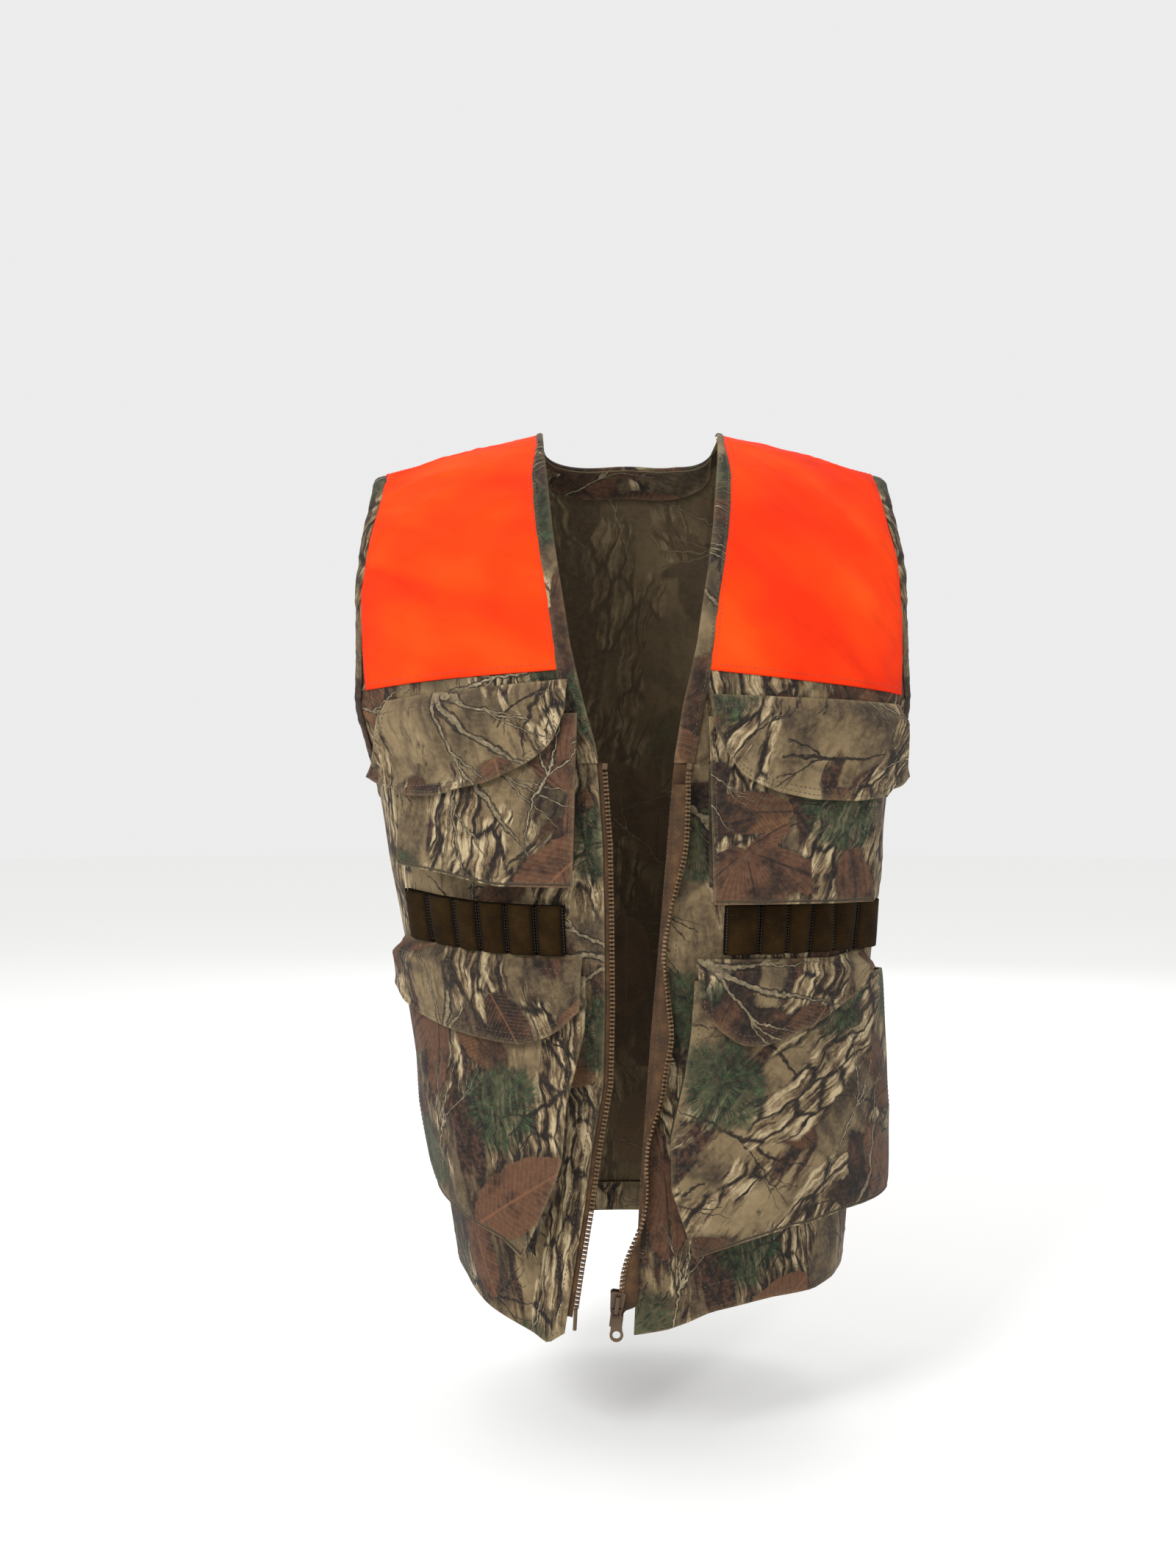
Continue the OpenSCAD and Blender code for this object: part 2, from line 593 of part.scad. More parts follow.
// undoes the chain's lean, so that the tab hangs plumb
lean = atan2(LEFT_ZIP[0][0] - LEFT_ZIP[1][0], LEFT_ZIP[0][2] - LEFT_ZIP[1][2]);
module pull_hang() rotate([0, -lean, 0]) children();

// ---------------------------------------------------------------- nodes

module side_node(side, name) {
    chest = chest_pocket_of(side);
    lower = lower_pocket_of(side);
    chest_f = chest_flap_of(side);
    lower_f = lower_flap_of(side);
    if (name == "front_panel") front_panel(side);
    if (name == "shoulder_patch") shoulder_patch(side);
    if (name == "front_facing") front_facing(side);
    if (name == "front_armhole_binding") armhole_binding(side, -1);
    if (name == "back_armhole_binding") armhole_binding(side, 1);
    if (name == "front_hem") front_hem(side);
    if (name == "chest_pocket") pocket_face(side, chest);
    if (name == "chest_pocket_gusset") pocket_gusset(side, chest);
    if (name == "chest_flap") flap(side, chest_f, chest, chest_flap_l);
    if (name == "chest_flap_hook") flap_hook(side, chest_f, chest, 0.5, 46);
    if (name == "chest_pocket_loop") pocket_loop(side, chest_f, chest, 0.5, 46);
    if (name == "shell_loops") shell_loops(side);
    if (name == "lower_pocket") pocket_face(side, lower);
    if (name == "lower_pocket_gusset") pocket_gusset(side, lower);
    if (name == "lower_flap") flap(side, lower_f, lower, lower_flap_l);
    if (name == "lower_flap_hook") flap_hook(side, lower_f, lower, 0.27, 36);
    if (name == "lower_pocket_loop") pocket_loop(side, lower_f, lower, 0.27, 36);
    if (name == "zip_tape") zip_tape(side);
    if (name == "zip_teeth") zip_teeth(side);
    if (name == "zip_top_stop") zip_top_stop(side);
}

back_panel();
back_yoke();
back_neck_facing();
back_hem();
zip_pin();
zip_box();
zip_slider();
zip_pull();
for (s = [0, 1], n = SIDE_NODES)
    side_node(s == 0 ? RIGHT : LEFT, n);
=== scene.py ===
"""Field vest worn open: blaze shoulder patches over a woodland print, four flapped box pockets,
two rows of shell loops and a separating zip. Every cloth piece is a thin two-sided sheet laid on
the same worn-body surface as the CAD part. Lengths are in millimetres until a mesh is made."""

import json
import math
import bmesh
import bpy
import numpy as np
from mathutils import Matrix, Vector


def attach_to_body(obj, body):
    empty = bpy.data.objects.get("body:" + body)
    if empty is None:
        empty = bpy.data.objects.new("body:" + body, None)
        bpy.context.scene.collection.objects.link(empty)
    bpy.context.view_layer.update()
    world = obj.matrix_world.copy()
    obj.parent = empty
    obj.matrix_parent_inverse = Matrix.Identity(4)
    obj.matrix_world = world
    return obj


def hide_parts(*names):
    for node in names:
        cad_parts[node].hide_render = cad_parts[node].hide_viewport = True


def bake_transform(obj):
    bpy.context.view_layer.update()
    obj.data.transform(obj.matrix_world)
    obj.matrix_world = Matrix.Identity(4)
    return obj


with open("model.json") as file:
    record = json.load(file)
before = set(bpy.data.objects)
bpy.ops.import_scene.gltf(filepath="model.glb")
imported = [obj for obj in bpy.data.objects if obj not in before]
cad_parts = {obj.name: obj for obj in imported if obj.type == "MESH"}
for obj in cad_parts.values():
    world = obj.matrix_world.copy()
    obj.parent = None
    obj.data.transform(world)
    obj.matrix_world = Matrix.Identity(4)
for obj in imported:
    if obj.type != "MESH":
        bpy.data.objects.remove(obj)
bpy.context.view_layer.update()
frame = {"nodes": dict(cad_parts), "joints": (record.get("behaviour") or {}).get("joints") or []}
JOINTS = {j["name"]: j for j in frame["joints"]}

RIGHT, LEFT = -1, 1
FRONT, BACK = -1, 1
NAME = {RIGHT: "right", LEFT: "left"}

# ---------------------------------------------------------------- small maths


def smooth(t):
    t = np.clip(t, 0, 1)
    return t * t * (3 - 2 * t)


def mix(a, b, t):
    return a + (b - a) * t


def even(count, lo=0.0, hi=1.0):
    return np.linspace(lo, hi, count)


def look(x, rows):
    """Reads a table of points, straight between them."""
    a = np.asarray(rows, float)
    return np.interp(x, a[:, 0], a[:, 1])


def unit(v):
    return v / np.maximum(np.linalg.norm(v, axis=-1, keepdims=True), 1e-9)


def noise(x, y, seed):
    """Smooth value noise from -1 to 1, one cell per unit."""
    x, y = np.asarray(x, float) + seed * 17.3, np.asarray(y, float) - seed * 9.1
    xi, yi = np.floor(x), np.floor(y)
    fx, fy = smooth(x - xi), smooth(y - yi)

    def at(i, j):
        return np.modf(np.abs(np.sin(i * 127.1 + j * 311.7 + seed * 74.7)) * 43758.5453)[0]

    low = mix(at(xi, yi), at(xi + 1, yi), fx)
    return mix(low, mix(at(xi, yi + 1), at(xi + 1, yi + 1), fx), fy) * 2 - 1


def crease(x, y, turn, long, wide, seed, sharp=3.0):
    """Ridged folds, 0 to 1, running along the direction turn in degrees."""
    c, s = math.cos(math.radians(turn)), math.sin(math.radians(turn))
    bent = y + 0.35 * wide * noise(x / (2 * wide), y / (2 * wide), seed + 5)
    a, b = (x * c + bent * s) / long, (bent * c - x * s) / wide
    return (1 - np.abs(noise(a, b, seed))) ** sharp


def stops(length, cell):
    """Shares from 0 to 1 across a length, close together near both ends."""
    fine = [f for f in (0.5, 1.3, 2.4, 3.8, 5.6) if f < length / 3]
    inner = np.linspace(fine[-1], length - fine[-1], max(2, int(round(length / cell))))
    return np.concatenate([[0], fine[:-1], inner, [length - f for f in fine[:-1]][::-1],
        [length]]) / length


# ---------------------------------------------------------------- the worn body

# a quarter ellipse over each shoulder: how far it drops, and how deep it stands
RISE, DEPTH = {FRONT: 200, BACK: 160}, {FRONT: 122, BACK: 104}
HEM_HALF, ARMPIT_HALF = {RIGHT: 120, LEFT: 152}, {RIGHT: 180, LEFT: 186}
ARMPIT, SEAM_H, SIDE_HEM = 255, 355, 592
SHOULDER_HALF, SIDE_ANGLE = 212, 89.8
AROUND = 165        # millimetres of cloth to a radian round the body
TOP = 0.001         # the drop at which a sheet starts, just past the shoulder line


def half_width(left, h):
    arm = np.where(left, ARMPIT_HALF[LEFT], ARMPIT_HALF[RIGHT])
    hem = np.where(left, HEM_HALF[LEFT], HEM_HALF[RIGHT])
    return np.where(h < ARMPIT, mix(SHOULDER_HALF, arm, smooth((h - 190) / 65)),
        mix(arm, hem, (h - ARMPIT) / SEAM_H))


def full_run(front):
    a, b = RISE[front], DEPTH[front]
    return math.pi / 4 * (3 * (a + b) - math.sqrt((3 * a + b) * (a + 3 * b)))


def drop_at(front, run):
    full = full_run(front)
    return np.where(run < full, RISE[front] * (1 - np.cos(math.pi / 2 * run / full)),
        RISE[front] + run - full)


def run_at(front, h):
    full, rise = full_run(front), RISE[front]
    return np.where(h < rise, full * np.degrees(np.arccos(np.clip(1 - h / rise, -1, 1))) / 90,
        full + h - rise)


def body(front, angle, run):
    """A point of the body; the angle is negative on the wearer's right."""
    h = drop_at(front, run)
    s, c = np.sin(np.radians(np.abs(angle))), np.cos(np.radians(angle))
    x = half_width(angle >= 0, h) * s
    full = full_run(front)
    reach = np.where(run < full, np.sin(math.pi / 2 * run / full), 1)
    y = DEPTH[front] * reach * c * (1 + 0.2 * s * s)
    z = -h - 0.26 * (np.sqrt(x * x + 300) - 67.3) * (1 - smooth(h / 220))
    return np.stack([np.where(angle < 0, -x, x), front * y, z], -1)


def skin(front, angle, run, off):
    """The same point, lifted off the body."""
    angle, run, off = np.broadcast_arrays(*(np.asarray(t, float) for t in (angle, run, off)))
    along = body(front, angle + 0.4, run) - body(front, angle - 0.4, run)
    down = body(front, angle, run + 0.4) - body(front, angle, run - 0.4)
    return body(front, angle, run) + unit(np.cross(along, down)) * front * off[..., None]


def angle_of(side, x, h):
    return np.degrees(np.arcsin(np.minimum(x / half_width(side > 0, h), 1)))


# edges, as in the CAD part
NECK_EDGE = [[0, 64], [26, 61.5], [57, 58], [85, 55], [113, 51], [137, 47], [160, 43.5],
    [180, 39], [200, 34]]
EDGE = {RIGHT: NECK_EDGE + [[225, 27], [243, 24], [292, 20.5], [340, 19.5], [400, 19],
    [450, 20], [491, 27], [535, 33], [572, 39], [625, 47]],
    LEFT: NECK_EDGE + [[225, 30], [243, 27], [340, 19], [420, 12], [520, 5], [625, 0]]}
ARM_EDGE = [[0, 184], [30, 186], [60, 188.5], [100, 190], [175, 190]]
HEM = {RIGHT: [[0, 615], [0.08, 623], [0.25, 615], [0.45, 606], [0.7, 596], [1, SIDE_HEM]],
    LEFT: [[0, 614], [0.09, 611], [0.22, 601], [0.42, 595], [1, SIDE_HEM]]}
PATCH_IN = [[0, 66], [10, 64.5], [26, 66.5], [41, 67.5], [62, 66], [81, 64], [105, 60.6],
    [123, 57.2], [147, 54], [185, 49]]
PATCH_OUT = [[0, 175.5], [41, 179.2], [80, 183.5], [121, 185.3], [155, 184.5], [200, 181.5]]


def edge_angle(side, h, shift=0.0):
    return angle_of(side, look(h, EDGE[side]) + shift, h)


def arm_angle(h):
    start = np.degrees(np.arcsin(look(h, ARM_EDGE) / SHOULDER_HALF))
    t = np.clip((h - ARMPIT + 80) / 80, 0, 1)
    return start + (SIDE_ANGLE - start) * (1 - np.sqrt(1 - t * t))


def outer_angle(h):
    return np.where(h < ARMPIT, arm_angle(h), SIDE_ANGLE)


def drape(front, angle, run):
    """Soft folds that every layer of cloth shares, held flat at seams and at the zip."""
    x, y, h = np.radians(angle) * AROUND, run + 0 * angle, drop_at(front, run)
    hold = smooth(run / 80) * smooth((89.5 - np.abs(angle)) / 12)
    if front == FRONT:
        edge = np.where(angle < 0, edge_angle(RIGHT, h), edge_angle(LEFT, h))
        hold = hold * smooth((np.abs(angle) - edge - 3) / 9)
    folds = 2.5 * noise(x / 60, y / 130, 2) + 2.2 * (crease(x, y, 66, 150, 48, 3) - 0.35) \
        + 0.7 * noise(x / 22, y / 34, 6)
    return hold * folds


def lay(front, angle, run, off):
    """A point of the draped cloth."""
    return skin(front, angle, run, off + drape(front, angle, run))


# ---------------------------------------------------------------- sheets of cloth


class Surface:
    """spot(u, v) gives angle, run and stand-off; ripple(u, v, x, y) adds folds, in mm."""

    def __init__(self, front, spot, ripple=None, turn=0.0, shift=(0, 0)):
        self.front, self.spot, self.ripple, self.turn, self.shift = front, spot, ripple, turn, shift

    def at(self, u, v, off=0.0):
        angle, run, stand = self.spot(u, v)
        if self.ripple is not None:
            stand = stand + self.ripple(u, v, np.radians(angle) * AROUND, run)
        return lay(self.front, angle, run, stand + off)

    def cloth_xy(self, u, v):
        angle, run, _ = self.spot(u, v)
        x, y = np.radians(angle) * AROUND * -self.front, -run + 0 * u
        c, s = math.cos(math.radians(self.turn)), math.sin(math.radians(self.turn))
        return np.stack([x * c - y * s + self.shift[0], x * s + y * c + self.shift[1]], -1)


def make(name, points, faces, mats, uvs, wear_and_shade, tags, sharp=50):
    mesh = bpy.data.meshes.new(name)
    mesh.from_pydata((np.asarray(points) / 1000).tolist(), [], faces)
    for m in mats:
        mesh.materials.append(m)
    if tags is not None:
        mesh.polygons.foreach_set("material_index", np.asarray(tags, np.int32))
    if uvs is not None:
        layer = mesh.uv_layers.new(name="cloth")
        index = np.empty(len(mesh.loops), np.int64)
        mesh.loops.foreach_get("vertex_index", index)
        layer.data.foreach_set("uv", (np.asarray(uvs) / 1000)[index].astype(np.float32).ravel())
    if wear_and_shade is not None:
        mesh.attributes.new("wear_and_shade", "FLOAT", "POINT").data.foreach_set(
            "value", np.asarray(wear_and_shade, np.float32))
    mesh.polygons.foreach_set("use_smooth", np.ones(len(mesh.polygons), bool))
    mesh.update()
    mesh.set_sharp_from_angle(angle=math.radians(sharp))
    obj = bpy.data.objects.new(name, mesh)
    bpy.context.scene.collection.objects.link(obj)
    return obj


def run_lengths(p, axis):
    d = np.linalg.norm(np.diff(p, axis=axis), axis=-1)
    zero = np.zeros_like(np.take(d, [0], axis=axis))
    return np.concatenate([zero, np.cumsum(d, axis=axis)], axis=axis)


def cloth(name, surf, us, vs, lo, hi, mats, wrap=0.35, painted_slot_shade=None):
    """A two-sided sheet over a grid, with a rolled rim. Returns the object."""
    u, v = np.meshgrid(us, vs)
    rows, cols = u.shape
    top, low = surf.at(u, v, hi), surf.at(u, v, lo)
    ring = [(0, i) for i in range(cols)] + [(j, cols - 1) for j in range(1, rows)]
    ring += [(rows - 1, i) for i in range(cols - 2, -1, -1)]
    ring += [(j, 0) for j in range(rows - 2, 0, -1)]
    inner = [(min(max(j, 1), rows - 2), min(max(i, 1), cols - 2)) for j, i in ring]
    rj, ri = np.array(ring).T
    nj, ni = np.array(inner).T
    middle = (top + low) / 2
    out = unit(middle[rj, ri] - middle[nj, ni]) * (hi - lo) * wrap
    rim = middle[rj, ri] + out
    n = rows * cols
    points = np.concatenate([top.reshape(-1, 3), low.reshape(-1, 3), rim])

    def cell(j, i):
        return j * cols + i

    faces = [(cell(j, i), cell(j + 1, i), cell(j + 1, i + 1), cell(j, i + 1))
        for j in range(rows - 1) for i in range(cols - 1)]
    tags = [0] * len(faces) + [1 if len(mats) > 1 else 0] * len(faces)
    faces += [(n + d, n + c, n + b, n + a) for a, b, c, d in faces]
    m = len(ring)
    idx = [cell(j, i) for j, i in ring]
    for k in range(m):
        a, b, r0, r1 = idx[k], idx[(k + 1) % m], 2 * n + k, 2 * n + (k + 1) % m
        faces += [(a, b, r1, r0), (r0, r1, n + b, n + a)]
        tags += [0, 0]
    a, b, c = top[0, 0], top[1, 0], top[0, 1]
    if np.dot(np.cross(b - a, c - a), a - low[0, 0]) < 0:
        faces = [f[::-1] for f in faces]
    xy = surf.cloth_xy(u, v)
    uvs = np.concatenate([xy.reshape(-1, 2), xy.reshape(-1, 2) + 300, xy[rj, ri]])
    across, along = run_lengths(top, 1), run_lengths(top, 0)
    near = np.minimum(np.minimum(across, across[:, -1:] - across),
        np.minimum(along, along[-1:, :] - along))
    # a mask near each sheet's edges: the print takes it as lighter worn edges, the blaze and the
    # elastic take it as painted shade along their edges
    edge_wear_and_shade = np.exp(-near / 1.6)
    # the optional function after wrap adds painted shade, and only the slots between the shell loops
    # use it
    if painted_slot_shade:
        edge_wear_and_shade = np.maximum(edge_wear_and_shade * 0.35, painted_slot_shade(u, v))
    wear_and_shade = np.concatenate([edge_wear_and_shade.ravel(), edge_wear_and_shade.ravel(), np.ones(m)])
    obj = make(name, points, faces, mats, uvs, wear_and_shade, tags)
    quad = np.linalg.norm(np.cross(top[1:, 1:] - top[:-1, :-1], top[1:, :-1] - top[:-1, 1:]),
        axis=-1) / 2
    obj["cut"] = [float(across[:, -1].max()) / 1000, float(along[-1].max()) / 1000,
        float(quad.sum()) / 1e6]
    return obj


def declare(obj):
    w, l, area = obj["cut"]
    w, l = round(w + 0.0005, 3), round(l + 0.0005, 3)
    area = min(max(area, 0.31 * w * l), w * l)


def shaft(rings, around, base=0):
    """Faces of a closed tube of rings of points, with both ends capped."""
    faces = [(base + j * around + i, base + j * around + (i + 1) % around,
        base + (j + 1) * around + (i + 1) % around, base + (j + 1) * around + i)
        for j in range(rings - 1) for i in range(around)]
    last = base + (rings - 1) * around
    caps = [range(base + around - 1, base - 1, -1), range(last, last + around)]
    return faces + [tuple(c) for c in caps]


def solid(name, points, faces, mat, uvs=None, wear_and_shade=None, sharp=50):
    """A closed mesh, with its faces turned outward."""
    obj = make(name, points, faces, [mat], uvs, wear_and_shade, None, sharp)
    bm = bmesh.new()
    bm.from_mesh(obj.data)
    bmesh.ops.recalc_face_normals(bm, faces=bm.faces)
    bm.to_mesh(obj.data)
    bm.free()
    return obj


def tube(name, rings, girth, along, mat, wear_and_shade, sharp=50):
    """Rings of points along a seam, laid out in the print by their girth and length."""
    rows, cols = rings.shape[:2]
    uvs = np.stack(np.broadcast_arrays(girth[None, :], along[:, None]), -1)
    return solid(name, rings.reshape(-1, 3), shaft(rows, cols), mat, uvs.reshape(-1, 2),
        np.full(rows * cols, wear_and_shade), sharp)


def sweep(name, path, normal, profile, mat):
    """A closed profile of (inward, outward) points carried along a path on the cloth."""
    inward = unit(np.cross(normal, unit(np.gradient(path, axis=0))))
    prof = np.asarray(profile, float)
    rings = path[:, None] + inward[:, None] * prof[None, :, :1] \
        + normal[:, None] * prof[None, :, 1:]
    return tube(name, rings, run_lengths(prof, 0), run_lengths(path, 0), mat, 0.25)


# a dash of thread: four rings along it, sunk at its ends
DASH = [(0.0, 0.45, -0.30), (0.22, 1.0, 0.04), (0.78, 1.0, 0.04), (1.0, 0.45, -0.30)]


def stitches(name, lines, mat, pitch=3.2, dash=2.2, r=0.3):
    """lines is a list of (points, normals), each running along one row of stitching."""
    points, faces, base = [], [], 0
    for path, normal in lines:
        s = run_lengths(path, 0)
        count = int(s[-1] / pitch)
        if count < 1:
            continue
        step = s[-1] / count
        at = (np.arange(count)[:, None] * step + (step - dash) / 2
            + np.array([d[0] for d in DASH])[None] * dash)
        p = np.stack([np.interp(at, s, path[:, k]) for k in range(3)], -1)
        n = unit(np.stack([np.interp(at, s, normal[:, k]) for k in range(3)], -1))
        t = unit(p[:, -1:] - p[:, :1])
        side = unit(np.cross(n, t))
        turn = np.arange(5) / 5 * 2 * math.pi + 0.3
        rad = np.array([d[1] for d in DASH]) * r
        lift = np.array([d[2] for d in DASH])
        ring = (p + n * lift[None, :, None])[:, :, None] + rad[None, :, None, None] * (
            side[:, :, None] * np.cos(turn)[None, None, :, None]
            + n[:, :, None] * np.sin(turn)[None, None, :, None] * 0.8)
        points.append(ring.reshape(-1, 3))
        for k in range(count):
            faces += shaft(len(DASH), 5, base)
            base += len(DASH) * 5
    points = np.concatenate(points)
    return solid(name, points, faces, mat, points[:, ::2])


def line(surf, us, vs, off):
    us, vs = np.broadcast_arrays(np.asarray(us, float), np.asarray(vs, float))
    p = surf.at(us, vs, off)
    return p, unit(surf.at(us, vs, off + 1) - p)


def hem_rows(surf, u, side, foot, off):
    """Rows of thread along the foot of a sheet and down both its sides."""
    return [line(surf, u, 1 - foot, off)] + [line(surf, at, u, off) for at in (side, 1 - side)]


def attach(obj, side, flap=None, sewn=False):
    """Sewn pieces ride on their front; every other piece, a flap too, only has its place baked into
    its mesh.
    """
    part = NAME[side] + "_front"
    if flap:
        j = JOINTS[f"{NAME[side]}_{flap}_flap_hinge"]
        axis = np.array(j["axis"], float)
        down = unit(np.cross(axis, [0, -1, 0]))
        down = down if down[2] < 0 else -down
        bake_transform(obj)
    elif sewn:
        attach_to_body(obj, part)
    else:
        inner, outer = (lay(FRONT, a, 1.0, 0.0) / 1000 for a in
            (side * float(edge_angle(side, 1.0)), side * float(arm_angle(np.array(1.0)))))
        along = unit((outer - inner) * [1, 0, 1])
        down = np.array([along[2], 0, -along[0]]) * np.sign(along[0])
        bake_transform(obj)
    return obj


def own(obj, slot, *nodes):
    if nodes:
        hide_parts(*nodes)
    return obj


# ---------------------------------------------------------------- materials


def srgb(code):
    c = [int(code[i:i + 2], 16) / 255 for i in (0, 2, 4)]
    return tuple(x / 12.92 if x < 0.04045 else ((x + 0.055) / 1.055) ** 2.4 for x in c) + (1,)


class Net:
    """A short way to write a node material."""

    def __init__(self, name, rough, sheen=0.0, metal=0.0, level=0.35):
        self.mat = bpy.data.materials.new(name)
        self.mat.use_nodes = True
        self.tree = self.mat.node_tree
        self.tree.nodes.clear()
        out = self.new("OutputMaterial")
        self.bsdf = self.new("BsdfPrincipled", {"Roughness": rough, "Metallic": metal,
            "Sheen Weight": sheen, "Sheen Roughness": 0.6, "Specular IOR Level": level})
        self.put(out.inputs["Surface"], self.bsdf.outputs[0])

    def put(self, socket, value):
        if isinstance(value, bpy.types.NodeSocket):
            self.tree.links.new(value, socket)
        elif value is not None:
            socket.default_value = value

    def new(self, kind, inputs=(), **settings):
        """A node with its settings, then its inputs in order or by number or name."""
        node = self.tree.nodes.new("ShaderNode" + kind)
        for k, v in settings.items():
            setattr(node, k, v)
        for k, v in (inputs if isinstance(inputs, dict) else dict(enumerate(inputs))).items():
            self.put(node.inputs[k], v)
        return node

    def math(self, op, *terms, clamp=False):
        return self.new("Math", terms, operation=op, use_clamp=clamp).outputs[0]

    def mul(self, a, b):
        return self.math("MULTIPLY", a, b)

    def madd(self, a, b, c):
        return self.math("MULTIPLY_ADD", a, b, c)

    def sub(self, a, b, clamp=False):
        return self.math("SUBTRACT", a, b, clamp=clamp)

    def abs(self, a):
        return self.math("ABSOLUTE", a)

    def vec(self, op, a, b):
        return self.new("VectorMath", (a, b), operation=op).outputs["Vector"]

    def ease(self, x, lo, hi, a=0.0, b=1.0):
        return self.new("MapRange", (x, lo, hi, a, b), interpolation_type="SMOOTHSTEP").outputs[0]

    def blend(self, t, a, b, kind="MIX"):
        a, b = (srgb(c) if isinstance(c, str) else c for c in (a, b))
        return self.new("Mix", {0: t, 6: a, 7: b}, data_type="RGBA", blend_type=kind).outputs[2]

    def grain(self, p, scale, detail, rough, bend=0.0):
        return self.new("TexNoise", {"Vector": p, "Scale": scale, "Detail": detail,
            "Roughness": rough, "Distortion": bend}, noise_dimensions="2D").outputs[0]

    def speckle(self, scale, detail):
        """Solid grain, for pieces that aren't cloth."""
        return self.new("TexNoise", {"Vector": self.new("TexCoord").outputs["Object"],
            "Scale": scale, "Detail": detail}).outputs[0]

    def cells(self, p, scale, feature="F1", jitter=1.0):
        return self.new("TexVoronoi", {"Vector": p, "Scale": scale, "Randomness": jitter},
            voronoi_dimensions="2D", feature=feature).outputs

    def parts(self, v):
        return tuple(self.new("SeparateXYZ", (v,)).outputs)

    def pair(self, x, y):
        return self.new("CombineXYZ", (x, y)).outputs[0]

    def turned(self, v, angle):
        return self.new("VectorRotate", {"Vector": v, "Angle": angle},
            rotation_type="Z_AXIS").outputs[0]

    def tones(self, t, *spots):
        node = self.new("ValToRGB", (t,))
        ramp = node.color_ramp
        while len(ramp.elements) < len(spots):
            ramp.elements.new(0.5)
        for e, (at, code) in zip(ramp.elements, spots):
            e.position, e.color = at, srgb(code)
        return node.outputs[0]

    def cloth(self):
        return self.new("UVMap", uv_map="cloth").outputs[0]

    def wear_and_shade(self):
        return self.new("Attribute", attribute_name="wear_and_shade").outputs["Fac"]

    def bumps(self, height, depth, strength):
        node = self.new("Bump", {"Strength": strength, "Distance": depth, "Height": height})
        self.put(self.bsdf.inputs["Normal"], node.outputs[0])

    def weave(self, p, pitch):
        """A plain weave: threads over and under at the pitch in metres."""
        x, y, _ = self.parts(p)
        k = 2 * math.pi / pitch
        a = self.math("SINE", self.mul(x, k))
        b = self.math("SINE", self.mul(y, k))
        return self.madd(self.mul(a, b), 0.5, 0.5)

    def done(self, colour):
        self.put(self.bsdf.inputs["Base Color"], colour)
        return self.mat


def scattered(n, p, pitch, seed, share):
    """Scattered marks: local x and y of the nearest, in metres, its luck and whether it shows."""
    q = n.vec("ADD", p, (seed * 0.137, seed * 0.211, 0))
    cell = n.cells(q, 1 / pitch, jitter=0.9)
    spin, luck, draw = n.parts(cell["Color"])
    local = n.vec("SUBTRACT", q, cell["Position"])
    x, y, _ = n.parts(n.turned(local, n.madd(spin, 6.283, seed * 0.7)))
    return x, y, luck, n.math("LESS_THAN", draw, share)


def ground(n, p):
    """Mottled khaki with airbrushed clouds, deep brown uprights and fine dark cracks."""
    x, y, _ = n.parts(p)
    soft, fine = n.grain(p, 15, 2, 0.5, 0.4), n.grain(p, 150, 4, 0.65)
    base = n.tones(n.madd(fine, 0.25, n.mul(soft, 0.8)),
        (0.30, "51463a"), (0.42, "70634f"), (0.55, "887a62"), (0.75, "9a8d74"))
    upright = n.pair(n.madd(y, 0.12, x), n.mul(y, 0.2))
    streak = n.grain(upright, 130, 4, 0.65)
    base = n.blend(n.ease(streak, 0.48, 0.72, 0, 0.45), base, "43362b")
    deep = n.madd(streak, 0.22, n.grain(n.vec("ADD", upright, (1.3, 0.4, 0)), 22, 3, 0.55))
    deep = n.ease(deep, 0.64, 0.71, 0.0, 0.92)
    base = n.blend(deep, base, n.tones(fine, (0.35, "261a15"), (0.5, "402a21"), (0.65, "55392c")))
    dark = n.grain(n.vec("ADD", p, (3.1, 1.7, 0)), 13, 3, 0.6, 0.6)
    return n.blend(n.ease(dark, 0.52, 0.72, 0, 0.7), base, "32271e")


def bark(n, p, colour, seed):
    """Patches of split bark: ragged pale plates over dark clefts, running down the cloth."""
    q = n.vec("ADD", p, (seed * 0.31, seed * 0.17, 0))
    x, y, _ = n.parts(q)
    lean = n.madd(y, 0.20 * (1 if seed % 2 else -1), x)
    quick = n.madd(n.grain(q, 45, 2, 0.5), 0.010, lean)
    where = n.grain(n.pair(n.mul(lean, 1.7), n.mul(y, 0.6)), 9, 2, 0.5)
    tear = n.grain(n.pair(quick, n.mul(y, 0.3)), 130, 4, 0.65)
    patch = n.ease(n.madd(tear, 0.20, where), 0.645, 0.69)
    strip = n.grain(n.pair(quick, n.mul(y, 0.09)), 210, 5, 0.7)
    plates = n.cells(n.pair(quick, n.mul(y, 0.34)), 80, "DISTANCE_TO_EDGE")
    tone = n.madd(strip, 0.75, n.mul(n.grain(q, 60, 4, 0.7), 0.35))
    plate = n.tones(tone, (0.42, "33271d"), (0.49, "5f503d"), (0.56, "8b7d66"), (0.66, "b3a78f"))
    cleft = n.ease(n.madd(strip, 0.34, plates["Distance"]), 0.19, 0.30)
    return n.blend(patch, colour, n.blend(cleft, "2f2319", plate))


